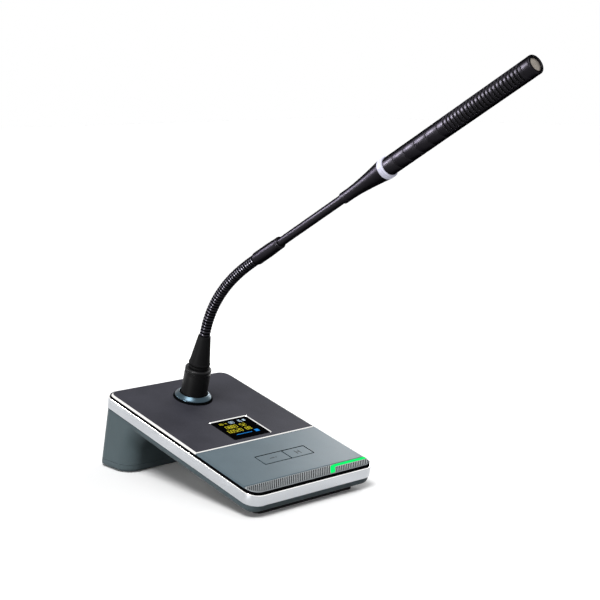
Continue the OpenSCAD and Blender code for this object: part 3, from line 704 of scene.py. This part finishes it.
class DESKMIC_OT_speaker_strip(DeskMicOperator):
    """Slotted speaker strip and the lit mark in it"""

    bl_idname = "deskmic.speaker_strip"
    bl_label = "Speaker strip"

    PITCH = 1.9
    SLOT = 1.0
    WEB = 0.6
    MARK = ((15.9, 0.5), (20.9, 0.5), (27.3, 7.7), (62.4, 7.7), (62.4, 11.2), (25.0, 11.2))
    MARK_ROUND = ((5, 4.2), (2, 1.6), (0, 0.8), (1, 0.8))
    MARK_GAP = 0.15
    MARK_TOP = 0.05
    MARK_EDGE = 0.2

    def execute(self, context):
        low = (-PANEL_HALF, 0)
        high = (PANEL_HALF, GRILLE_END - SEAM / 2)
        strip = plate(low, high, -PANEL_T, 0, PANEL_R, 0, 0)
        rim = [e for e in edges_at(strip, 0) if any(v.co.y < high[1] - 0.1 for v in e.verts)]
        soften(strip, rim, sizes()["blue_edge"], 4)
        strip = carved(strip, self.mark(-CUT, CUT, self.MARK_GAP))
        strip = carved(strip, self.slots(high[1]))
        # Upright walls of the slots, of the gap round the lit mark and of the strip's edge get
        # the black of painted shade
        shade_walls(strip)
        finishes = ["grille_grey", "painted_shade_black"]
        place("speaker_strip", strip, SLAB, finishes, "base", ["speaker_grille"])
        lamp = self.mark(-PANEL_T, self.MARK_TOP, 0)
        soften(lamp, edges_at(lamp, self.MARK_TOP), self.MARK_EDGE, 2)
        place("lit_mark", lamp, SLAB, ["lamp_green"], "base", ["light_guide"])
        return {"FINISHED"}

    def mark(self, low, high, grow):
        """Lit mark: a bar along the strip's rear edge that turns into a slanted leg."""
        bm = bmesh.new()
        corners = [bm.verts.new((u, v, low)) for u, v in self.MARK]
        face = bm.faces.new(corners)
        if grow:
            bmesh.ops.inset_region(
                bm, faces=[face], thickness=grow, use_boundary=True, use_outset=True
            )
            bmesh.ops.dissolve_faces(bm, faces=bm.faces[:], use_verts=True)
        for index, radius in self.MARK_ROUND:
            u, v = self.MARK[index]
            nearest = min(bm.verts, key=lambda vert: (vert.co.xy - Vector((u, v))).length)
            soften(bm, [nearest], radius, 8, "VERTICES")
        raised(bm, bm.faces[:], high - low)
        return bm

    def slots(self, rear):
        """Cutters of the strip's slots, which slant as the leg of the lit mark does."""
        bm = bmesh.new()
        leg = self.MARK[1]
        corner = self.MARK[2]
        slant = (corner[0] - leg[0]) / (corner[1] - leg[1])
        margin = self.SLOT / 2 + self.WEB
        left = self.MARK[0][0] - slant * self.MARK[0][1] - margin
        right = leg[0] - slant * leg[1] + margin
        count = int(2 * PANEL_HALF / self.PITCH)
        for i in range(-count, count):
            foot = left + i * self.PITCH
            if foot > left:
                foot += right - left - self.PITCH
            start = self.WEB
            while start < rear and start < self.front(foot + slant * start) + self.WEB:
                start += 0.1
            stop = min(rear - self.WEB, (PANEL_HALF - margin - foot) / slant)
            if foot > left:
                stop = min(stop, corner[1] - self.WEB)
            if stop - start > self.SLOT:
                tall = stop - start
                mid = (start + stop) / 2
                lean = Matrix((
                    (self.SLOT, slant * tall, 0, foot + slant * mid),
                    (0, tall, 0, mid),
                    (0, 0, 2 * CUT, 0),
                    (0, 0, 0, 1),
                ))
                bmesh.ops.create_cube(bm, size=1, matrix=lean)
        return bm

    def front(self, u):
        """Front edge of the strip at a place across it, round its corners."""
        past = abs(u) + self.SLOT / 2 - (PANEL_HALF - PANEL_R)
        if past >= PANEL_R:
            return GRILLE_END
        return PANEL_R - math.sqrt(PANEL_R ** 2 - max(past, 0) ** 2)


# Strokes of a digit on the display: middle in half widths and heights, and direction
STROKES = {
    "a": (0, 1, "across"),
    "b": (1, 0.5, "along"),
    "c": (1, -0.5, "along"),
    "d": (0, -1, "across"),
    "e": (-1, -0.5, "along"),
    "f": (-1, 0.5, "along"),
    "g": (0, 0, "across"),
}
DIGITS = ("abcdef", "bc", "abdeg", "abcdg", "bcfg", "acdfg", "acdefg", "abc", "abcdefg", "abcdfg")


class DESKMIC_OT_display(DeskMicOperator):
    """Display glass and the plain numbers lit behind it"""

    bl_idname = "deskmic.display"
    bl_label = "Display"

    def execute(self, context):
        inset = 0.15
        low = (WINDOW[0][0] + inset, WINDOW[0][1] + inset)
        high = (WINDOW[1][0] - inset, WINDOW[1][1] - inset)
        bm = plate(low, high, GLASS_TOP - 1.5, GLASS_TOP, 1.9, 1.9, 0.1, 2)
        place("display_window", bm, SLAB, ["screen_glass"], "base",
              ["display_glass"])
        bm = bmesh.new()
        finishes = ["digit_yellow", "digit_white", "digit_blue"]
        for index, v, first, tall, numbers in (
            (0, 106.4, -11.4, 2.6, "80 4"),
            (1, 106.4, -1.0, 3.6, "88 16"),
            (0, 99.6, -9.6, 4.2, "0880 52"),
            (0, 92.6, -12.4, 4.2, "60520 88"),
        ):
            u = first
            for number in numbers:
                if number != " ":
                    self.digit(bm, int(number), u, v, tall, index)
                u += 0.72 * tall
        self.bar(bm, -2.0, 86.0, 16.0, 0.7, 2)
        self.bar(bm, 11.6, 86.6, 3.8, 3.8, 2)
        self.bar(bm, 13.4, 106.4, 2.2, 3.0, 1)
        place("display_picture", bm, SLAB, finishes, "base")
        return {"FINISHED"}

    def digit(self, bm, number, u, v, tall, index):
        """One number made of straight strokes."""
        wide = 0.5 * tall
        for stroke in DIGITS[number]:
            x, y, way = STROKES[stroke]
            thick = 0.11 * tall
            across = wide if way == "across" else thick
            along = 0.5 * tall if way == "along" else thick
            self.bar(bm, u + x * wide / 2, v + y * tall / 2, across, along, index)

    def bar(self, bm, u, v, across, along, index):
        """One lit stroke on the glass."""
        before = set(bm.faces)
        brick(bm, (u, v, GLASS_TOP + INK_AT), (across, along, INK_T))
        paint(bm, lambda face: face not in before, index)


class DESKMIC_OT_plug(DeskMicOperator):
    """Bezel, lock nut, plug collar and boot of the microphone's plug"""

    bl_idname = "deskmic.plug"
    bl_label = "Plug and boot"

    NUT_R = 11.25
    KNURL_STEPS = 64

    def execute(self, context):
        spot = SLAB @ Matrix.Translation((0, SOCKET_V, 0))
        # Black ring of painted shade round the bezel's foot, where the socket's recess lies in
        # shade
        shade_ring = turned([
            (14.0, -PANEL_T), (16.9, -PANEL_T), (16.9, 0.9, 0.4), (15.9, 1.6, 0.4),
            (14.0, 1.6),
        ])
        place("socket_shade_ring", shade_ring, spot, ["painted_shade_black"], "base")
        bezel = turned([
            (12.05, -PANEL_T), (13.9, -PANEL_T), (13.9, 1.6), (15.7, 1.6, 0.2),
            (15.8, 2.2, 0.3), (15.3, 2.9, 0.4), (12.9, 5.2, 0.5), (12.3, 5.2, 0.3),
            (12.05, 4.8, 0.2),
        ])
        place("socket_ring", bezel, spot, ["bezel_metal"], "base",
              ["socket_bezel"])
        self.nut()

        collar = 8.8
        section = [
            (0, -9), (7.5, -9, 0.3), (7.5, NUT_TOP + 0.3),
            (collar - 0.4, NUT_TOP + 0.3, 0.2), (collar, NUT_TOP + 0.8, 0.3),
            (collar, BOOT_LOW - 0.8, 0.2), (collar - 0.9, BOOT_LOW - 0.7, 0.1),
            (collar - 0.9, BOOT_LOW), (0, BOOT_LOW),
        ]
        place("plug_collar", turned(section), PLUG, ["black_plastic"], "base",
              ["plug_body"])

        lip = 9.2
        boot = turned([
            (0, BOOT_LOW), (lip - 0.4, BOOT_LOW, 0.2), (lip, BOOT_LOW + 0.4, 0.3),
            (lip, BOOT_LOW + 1.2, 0.3), (lip - 0.5, BOOT_LOW + 1.7, 0.3),
            (5.25, BOOT_TOP - 0.4, 0.6), (4.6, BOOT_TOP, 0.3), (0, BOOT_TOP),
        ])
        place("neck_boot", boot, PLUG, ["black_plastic"], "base", ["boot"])
        return {"FINISHED"}

    def nut(self):
        """Lock nut with a diamond knurl, a groove and a plain rim."""
        r = self.NUT_R
        bore = 7.6
        low = NUT_LOW
        top = NUT_TOP
        first = low + 2.3
        step = math.tau * r / self.KNURL_STEPS
        rows = int((top - 4.6 - first) / step)
        nut = turned([
            (bore, low), (r - 0.9, low, 0.3), (r - 0.1, low + 0.8, 0.4),
            (r - 0.1, first - step), *((r, first + j * step) for j in range(rows + 1)),
            (r - 0.1, top - 4.0), (r - 0.9, top - 3.7, 0.2), (r - 0.9, top - 2.9, 0.2),
            (r, top - 2.6, 0.3), (r, top - 0.8, 0.3), (r - 0.9, top, 0.4),
            (bore, top),
        ], self.KNURL_STEPS)
        depth = sizes()["knurl_depth"]
        for vertex in nut.verts:
            x, y, z = vertex.co
            row = round((z - first) / step)
            if 0 <= row <= rows and vertex.co.xy.length > r - 0.01:
                turn = round(math.atan2(y, x) / math.tau * self.KNURL_STEPS)
                if (row + turn) % 2:
                    vertex.co.xy *= (r - depth) / r
        place("lock_nut_ring", nut, PLUG, ["nut_black"], "lock_nut",
              ["lock_nut"], crease=25)


def neck_line(s):
    """Point and direction of the neck's middle line, s counted in stretches."""
    i = min(max(math.floor(s), 0), STRETCHES - 1)
    ways = []
    for k in (i, i + 1):
        if k == 0:
            ways.append(PLUG_UP)
        elif k == STRETCHES:
            ways.append(ARM_UP)
        else:
            ways.append((NECK_POINTS[k + 1] - NECK_POINTS[k - 1]).normalized())
    if s < 0:
        return NECK_POINTS[0] + PLUG_UP * (s * STRETCH * MM), PLUG_UP
    if s > STRETCHES:
        return ARM_ZERO + ARM_UP * ((s - STRETCHES) * STRETCH * MM), ARM_UP
    a = NECK_POINTS[i]
    d = NECK_POINTS[i + 1]
    reach = (d - a).length / 3
    b = a + ways[0] * reach
    c = d - ways[1] * reach
    t = s - i
    first = a.lerp(b, t).lerp(b.lerp(c, t), t)
    second = b.lerp(c, t).lerp(c.lerp(d, t), t)
    return first.lerp(second, t), (second - first).normalized()


class DESKMIC_OT_gooseneck(DeskMicOperator):
    """Ribbed gooseneck, in stretches that hinge in a groove"""

    bl_idname = "deskmic.gooseneck"
    bl_label = "Gooseneck"

    # Ribs on a stretch, by their spacing in mm; a power under 1 makes their crests broad
    RIB_PITCH = 2.85
    RIBS = STRETCH / RIB_PITCH
    RIB_STEPS = 10
    RIB_POWER = 0.6
    # Share of a rib's height, from the bottom of a groove, that is painted black as the groove's
    # shade
    BLACK = 0.4
    # Part of a stretch that goes on into the boot and into the coupler
    TUCK = 0.4
    BORE_R = 2.2
    SIDES = 40
    CREASE = 60
    # At a hinge, in mm: half the slit, and the collar that turns in the next stretch's recess
    SLIT = 0.35
    COLLAR_L = 1.3
    COLLAR_IN = 0.6
    RECESS_L = 2.1
    RECESS_IN = 0.15

    def execute(self, context):
        bodies = [NECK_JOINTS[0]["parent"], *(joint["child"] for joint in NECK_JOINTS)]
        for k, body in enumerate(bodies):
            place(f"neck_sleeve_{k + 1:02d}", self.sleeve(k), Matrix.Identity(4),
                  ["neck_sheath", "painted_shade_black"], body,
                  [f"neck_{k + 1:02d}"], self.CREASE)
        return {"FINISHED"}

    def groove(self, k):
        """Station of the groove that is nearest to a joint."""
        return round(k * self.RIBS) / self.RIBS

    def sleeve(self, k):
        """Ribbed stretch, turned straight and then bent to the neck's middle line."""
        size = sizes()
        core = size["neck_core_d"] / 2
        rise = size["neck_d"] / 2 - core
        slit = self.SLIT / STRETCH
        first = k == 0
        last = k == STRETCHES - 1
        low = -self.TUCK if first else self.groove(k) + slit
        high = STRETCHES + self.TUCK if last else self.groove(k + 1) - slit
        count = round((high - low) * self.RIBS * self.RIB_STEPS)
        section = []
        for i in range(count + 1):
            s = low + (high - low) * i / count
            wave = 0.5 - 0.5 * math.cos(math.tau * s * self.RIBS)
            section.append((core + rise * wave ** self.RIB_POWER, s))
        tip = high
        if not last:
            tip = self.groove(k + 1) + self.COLLAR_L / STRETCH
            section += [(core - self.COLLAR_IN, high), (core - self.COLLAR_IN, tip)]
        floor = low
        if not first:
            floor = self.groove(k) + self.RECESS_L / STRETCH
        section += [(self.BORE_R, tip + (floor - tip) * i / 4) for i in range(5)]
        if not first:
            section += [(core - self.RECESS_IN, floor), (core - self.RECESS_IN, low)]
        bm = turned(section, self.SIDES)
        # Faces low in the grooves get the black of painted shade
        black = core + self.BLACK * rise
        paint(bm, lambda face: face.calc_center_median().xy.length < black)
        for vertex in bm.verts:
            x, y, s = vertex.co
            point, way = neck_line(s)
            vertex.co = point + ACROSS * (x * MM) + way.cross(ACROSS) * (y * MM)
        return bm


class DESKMIC_OT_arm(DeskMicOperator):
    """Coupler, thin tube, flared adapter and light ring"""

    bl_idname = "deskmic.arm"
    bl_label = "Arm"

    def execute(self, context):
        top = COUPLER_TOP
        coupler = turned([
            (0, 0), (4.7, 0, 0.2), (5.25, 0.7, 0.3), (5.25, top - 14, 6),
            (4.85, top - 4, 2), (4.85, top - 2.6, 0.1), (4.45, top - 2.4, 0.1),
            (4.45, top - 1.8, 0.1), (4.85, top - 1.6, 0.1), (4.85, top - 0.6, 0.3),
            (4.2, top, 0.3), (0, top),
        ])
        place("arm_coupler", coupler, ARM, ["mic_black"], "arm", ["neck_coupler"])

        low = ADAPTER_LOW
        tube = turned([(2.6, top - 6), (3.55, top - 6), (3.55, low + 6), (2.6, low + 6)])
        place("arm_tube", tube, ARM, ["mic_black"], "arm", ["upper_tube"])

        collar = 4.45
        rim = 8.05
        flare_low = low + 8.4
        flare_l = RING_LOW - flare_low
        flare = [
            (collar + (rim - collar) * (i / 16) ** 1.5, flare_low + flare_l * i / 16)
            for i in range(17)
        ]
        adapter = turned([
            (0, low), (collar - 0.4, low, 0.2), (collar, low + 0.4, 0.3),
            (collar, low + 5, 0.1), (collar - 0.35, low + 5.2, 0.1),
            (collar - 0.35, low + 6, 0.1), (collar, low + 6.2, 0.1), *flare,
            (0, RING_LOW),
        ])
        place("flared_adapter", adapter, ARM, ["mic_black"], "arm",
              ["head_adapter"])

        ring = turned([
            (5.7, RING_LOW), (7.8, RING_LOW, 0.3), (8.2, RING_LOW + 0.4, 0.4),
            (8.2, RING_MID - 0.4, 0.1), (7.85, RING_MID, 0.05), (8.2, RING_MID + 0.4, 0.1),
            (8.2, RING_TOP - 0.4, 0.4), (7.8, RING_TOP, 0.3), (5.7, RING_TOP),
        ])
        place("lit_ring", ring, ARM, ["lamp_white"], "arm", ["light_ring"])
        return {"FINISHED"}


class DESKMIC_OT_head(DeskMicOperator):
    """Slotted head, its end cap and the mesh over its opening"""

    bl_idname = "deskmic.head"
    bl_label = "Head"

    GROOVES = 5
    GROOVE_FIRST = 11.6
    GROOVE_PITCH = 11.7
    SLOTS = 22
    SLOT_FIRST = 65.0
    SLOT_PITCH = 3.38
    SLOT_W = 1.9
    SLOT_REACH = 2.4
    WALL = 1.2
    HEAD_R = 6.95

    def execute(self, context):
        r = self.HEAD_R
        bore = r - self.WALL
        depth = sizes()["groove_depth"]
        low = RING_TOP
        grooves = []
        for i in range(self.GROOVES):
            z = low + self.GROOVE_FIRST + i * self.GROOVE_PITCH
            grooves += [
                (r, z - 0.6, 0.15), (r - depth, z - 0.35, 0.1),
                (r - depth, z + 0.35, 0.1), (r, z + 0.6, 0.15),
            ]
        head = turned([
            (bore, low), (r - 0.3, low, 0.1), (r, low + 0.4, 0.2), *grooves,
            (r, CAP_LOW - 0.4, 0.2), (r - 0.3, CAP_LOW - 0.1, 0.1), (r - 0.3, CAP_LOW),
            (bore, CAP_LOW),
        ], 96, 2)
        slots = bmesh.new()
        for i in range(self.SLOTS):
            z = low + self.SLOT_FIRST + i * self.SLOT_PITCH
            for side in (-1, 1):
                spot = (side * (self.SLOT_REACH + r / 2), 0, z)
                brick(slots, spot, (r, 3 * r, self.SLOT_W))
        head = carved(head, slots)
        first = low + self.SLOT_FIRST - self.SLOT_W
        paint(head, lambda face: abs(face.normal.z) > 0.9
              and first < face.calc_center_median().z < CAP_LOW - 1)
        finishes = ["mic_black", "cut_metal"]
        place("slotted_head", head, ARM, finishes, "arm", ["head_tube"])

        hole = r - 2.1
        cap = turned([
            (bore, CAP_LOW), (r - 0.2, CAP_LOW, 0.1), (r, CAP_LOW + 0.2, 0.1),
            (r, TIP - 0.8, 0.6), (r - 0.8, TIP, 0.5), (hole + 0.3, TIP, 0.2),
            (hole, TIP - 0.3, 0.2), (hole, TIP - 1.2), (bore, TIP - 1.2),
        ])
        place("head_cap", cap, ARM, ["mic_black"], "arm", ["end_cap"])

        mesh = turned([
            (0, TIP - 2.0), (bore - 0.1, TIP - 2.0), (bore - 0.1, TIP - 1.25),
            (hole, TIP - 1.2), (hole * 0.7, TIP - 1.0), (hole * 0.35, TIP - 0.88),
            (0, TIP - 0.84),
        ])
        place("head_mesh", mesh, ARM, ["mesh_steel"], "arm", ["end_mesh"])
        return {"FINISHED"}


class DESKMIC_OT_foot(DeskMicOperator):
    """Cover under the foot, with its rounded rim and screw holes"""

    bl_idname = "deskmic.foot"
    bl_label = "Foot cover"

    HALF = 64.2
    ENDS = (154.0, 197.0)
    SEAM = 6.8
    PAD = ((-46.15, -15.15), (46.15, 15.15))
    PAD_R = 5.15
    PAD_L = 0.6
    FRONT_R = 14.0
    REAR_R = 10.7
    SCREWS = ((-54, -15), (-54, 12), (54, -15), (54, 12))
    SCREW_R = 3
    SCREW_L = 1.8

    def execute(self, context):
        bm = bmesh.new()
        low = (-self.HALF, self.ENDS[0])
        high = (self.HALF, self.ENDS[1])
        block(bm, low, high, 0, 1, self.FRONT_R, self.REAR_R)
        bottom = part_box("foot_cover")[0].z
        rim = []
        for vertex in bm.verts:
            level = self.SEAM * MM if vertex.co.z > 0.5 else bottom
            if vertex.co.z < 0.5:
                rim.append(vertex)
            spot = SLAB @ Vector((vertex.co.x, vertex.co.y, 0))
            vertex.co.z = (level - spot.z) / SLAB_UP.z / MM
        bmesh.ops.recalc_face_normals(bm, faces=bm.faces)
        edges = [e for e in bm.edges if all(v in rim for v in e.verts)]
        soften(bm, edges, sizes()["foot_rim"], 5)
        bmesh.ops.transform(bm, matrix=Matrix.Scale(1 / MM, 4) @ SLAB, verts=bm.verts)
        holes = bmesh.new()
        for x, y in self.SCREWS:
            drill(holes, (x, y, bottom / MM), self.SCREW_R, 2 * self.SCREW_L, 32)
        sunk = bottom / MM + self.PAD_L
        block(holes, *self.PAD, sunk - 1.6, sunk, self.PAD_R, self.PAD_R)
        bm = carved(bm, holes)
        place("foot_base", bm, Matrix.Scale(MM, 4), ["shell_plastic"], "base",
              ["foot_cover"])
        return {"FINISHED"}


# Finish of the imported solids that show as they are, or lie inside
SOLIDS = {
    "shell_plastic": ["bottom_shell"],
    "pad_rubber": ["rear_pad", "front_pad", "capsule_holder"],
    "steel": ["cover_screws", "board_screws", "capsule"],
    "black_plastic": [
        "speaker_driver", "plunger_left", "plunger_right", "key_switches", "display_module",
        "socket_body",
    ],
    "circuit_board": ["main_board"],
    "cell_sleeve": ["battery_pack"],
    "pin_brass": ["plug_pins"],
    "liner_cloth": ["slot_liner"],
}


class DESKMIC_OT_solids(DeskMicOperator):
    """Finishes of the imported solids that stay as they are"""

    bl_idname = "deskmic.solids"
    bl_label = "Shell and inner parts"

    def execute(self, context):
        for label, nodes in SOLIDS.items():
            for node in nodes:
                materials = frame["nodes"][node].data.materials
                materials.clear()
                materials.append(finish(label))
        return {"FINISHED"}


# Stage

CAMERA_PLACE = (-0.70753, -0.95464, 0.33413)
CAMERA_TURN = -41.918
CAMERA_RISE = 9.436
# Floor: half its side in m, its colour as it lights the object and as it shows, and its glow
FLOOR_HALF = 6
FLOOR_LIT = (0.15, 0.15, 0.15)
FLOOR_SHOWN = (0.95, 0.95, 0.95)
FLOOR_LIFT = 0.03
# Suns: name, share of the sun's strength, way of the light, spread
SUNS = (
    ("soft_sun", 1.08, (0.46, 0.3, -1), 26),
    ("left_sun", 0.62, (0.97, 0.16, -0.1), 14),
)
# Soft panels of light: name, place, aim, width, height, power, beam and if it is only reflected
PANELS_OF_LIGHT = (
    ("right_panel", (0.62, 0.2, 0.34), (0.06, -0.13, 0.04), 0.26, 0.26, 2.6, 180, False),
    ("neck_panel", (-0.9, -0.06, 0.09), (0, -0.02, 0.2), 0.5, 0.14, 1.1, 18, True),
    ("stripe_panel", (-0.63, 0.57, 0.44), (0, -0.22, 0.45), 0.34, 0.36, 4.8, 42, True),
)


def shown_apart(tree, lighting, seen):
    """Mix that lights the object with one shader, and shows directly as the other."""
    rays = tree.nodes.new("ShaderNodeLightPath")
    direct = rays.outputs["Is Camera Ray"]
    for label in ("Is Glossy Ray", "Is Transmission Ray"):
        direct = maths(tree, "MAXIMUM", direct, rays.outputs[label])
    return wired(tree, "ShaderNodeMixShader", {"Fac": direct, 1: lighting, 2: seen})


class DESKMIC_OT_stage(DeskMicOperator):
    """Pale floor, soft light and camera"""

    bl_idname = "deskmic.stage"
    bl_label = "Stage"

    def execute(self, context):
        scene = context.scene
        scene.view_settings.view_transform = "Standard"
        stage = scene.desk_mic_stage
        self.sky(scene, stage.sky)
        self.floor()
        self.lamps(stage.sun)
        self.camera(scene, stage.lens)
        return {"FINISHED"}

    def sky(self, scene, strength):
        """Even light all round, which shows as white."""
        world = bpy.data.worlds.new("studio")
        scene.world = world
        world.use_nodes = True
        tree = world.node_tree
        tree.nodes.clear()
        plain = {"Color": (1, 1, 1, 1), "Strength": strength}
        light = wired(tree, "ShaderNodeBackground", plain)
        white = wired(tree, "ShaderNodeBackground", {"Color": (1, 1, 1, 1)})
        shown = shown_apart(tree, light, white)
        wired(tree, "ShaderNodeOutputWorld", {"Surface": shown})

    def floor(self):
        """White floor that keeps the shadow, and lights the object less than it shows."""
        bm = bmesh.new()
        bmesh.ops.create_grid(bm, x_segments=1, y_segments=1, size=FLOOR_HALF)
        floor = meshed("floor", bm)
        paper = bpy.data.materials.new("white_paper")
        paper.use_nodes = True
        tree = paper.node_tree
        tree.nodes.clear()
        grey = wired(tree, "ShaderNodeBsdfDiffuse", {"Color": (*FLOOR_LIT, 1)})
        white = wired(tree, "ShaderNodeBsdfDiffuse", {"Color": (*FLOOR_SHOWN, 1)})
        lift = wired(tree, "ShaderNodeEmission", {"Strength": FLOOR_LIFT})
        both = wired(tree, "ShaderNodeAddShader", {0: white, 1: lift})
        shown = shown_apart(tree, grey, both)
        wired(tree, "ShaderNodeOutputMaterial", {"Surface": shown})
        floor.data.materials.append(paper)

    def aim(self, thing, way):
        """Turn a lamp or the camera to look along a direction."""
        thing.rotation_mode = "QUATERNION"
        thing.rotation_quaternion = Vector(way).to_track_quat("-Z", "Y")

    def lamps(self, strength):
        """Suns and panels of light."""
        for name, share, way, spread in SUNS:
            sun = bpy.data.lights.new(name, "SUN")
            sun.energy = strength * share
            sun.angle = math.radians(spread)
            self.aim(linked(name, sun), way)
        for name, spot, target, across, along, power, beam, reflected in PANELS_OF_LIGHT:
            light = bpy.data.lights.new(name, "AREA")
            light.shape = "RECTANGLE"
            light.size = across
            light.size_y = along
            light.energy = power
            light.spread = math.radians(beam)
            lamp = linked(name, light)
            lamp.location = spot
            self.aim(lamp, Vector(target) - Vector(spot))
            lamp.visible_camera = False
            lamp.visible_diffuse = not reflected

    def camera(self, scene, lens):
        """Camera at the photograph's viewing angle."""
        camera = bpy.data.cameras.new("camera")
        camera.lens = lens
        camera.sensor_width = 36
        camera.clip_start = 0.01
        camera.clip_end = 100
        view = linked("camera", camera)
        turn = math.radians(CAMERA_TURN)
        rise = math.radians(CAMERA_RISE)
        flat = math.cos(rise)
        back = Vector((math.sin(turn) * flat, -math.cos(turn) * flat, math.sin(rise)))
        view.location = CAMERA_PLACE
        self.aim(view, -back)
        scene.camera = view


OPERATORS = (
    DESKMIC_OT_stage,
    DESKMIC_OT_solids,
    DESKMIC_OT_trim_band,
    DESKMIC_OT_panels,
    DESKMIC_OT_keys,
    DESKMIC_OT_speaker_strip,
    DESKMIC_OT_display,
    DESKMIC_OT_plug,
    DESKMIC_OT_gooseneck,
    DESKMIC_OT_arm,
    DESKMIC_OT_head,
    DESKMIC_OT_foot,
)


class DESKMIC_PT_build(bpy.types.Panel):
    """Settings and steps of the desk microphone"""

    bl_idname = "DESKMIC_PT_build"
    bl_label = "Desk microphone"
    bl_space_type = "VIEW_3D"
    bl_region_type = "UI"
    bl_category = "Desk microphone"

    def draw(self, context):
        layout = self.layout
        for group in GROUPS:
            owner = getattr(context.scene, group)
            box = layout.box()
            for name in type(owner).__annotations__:
                box.prop(owner, name)
        for operator in OPERATORS:
            layout.operator(operator.bl_idname)


GROUPS = {
    "desk_mic_sizes": DeskMicSizes,
    "desk_mic_finishes": DeskMicFinishes,
    "desk_mic_stage": DeskMicStage,
}


def register():
    for name, group in GROUPS.items():
        bpy.utils.register_class(group)
        setattr(bpy.types.Scene, name, bpy.props.PointerProperty(type=group))
    for operator in OPERATORS:
        bpy.utils.register_class(operator)
    bpy.utils.register_class(DESKMIC_PT_build)


def unregister():
    bpy.utils.unregister_class(DESKMIC_PT_build)
    for operator in reversed(OPERATORS):
        bpy.utils.unregister_class(operator)
    for name, group in reversed(GROUPS.items()):
        delattr(bpy.types.Scene, name)
        bpy.utils.unregister_class(group)


def main():
    register()
    for operator in OPERATORS:
        getattr(bpy.ops.deskmic, operator.bl_idname.split(".")[1])()


if __name__ == "__main__":
    main()
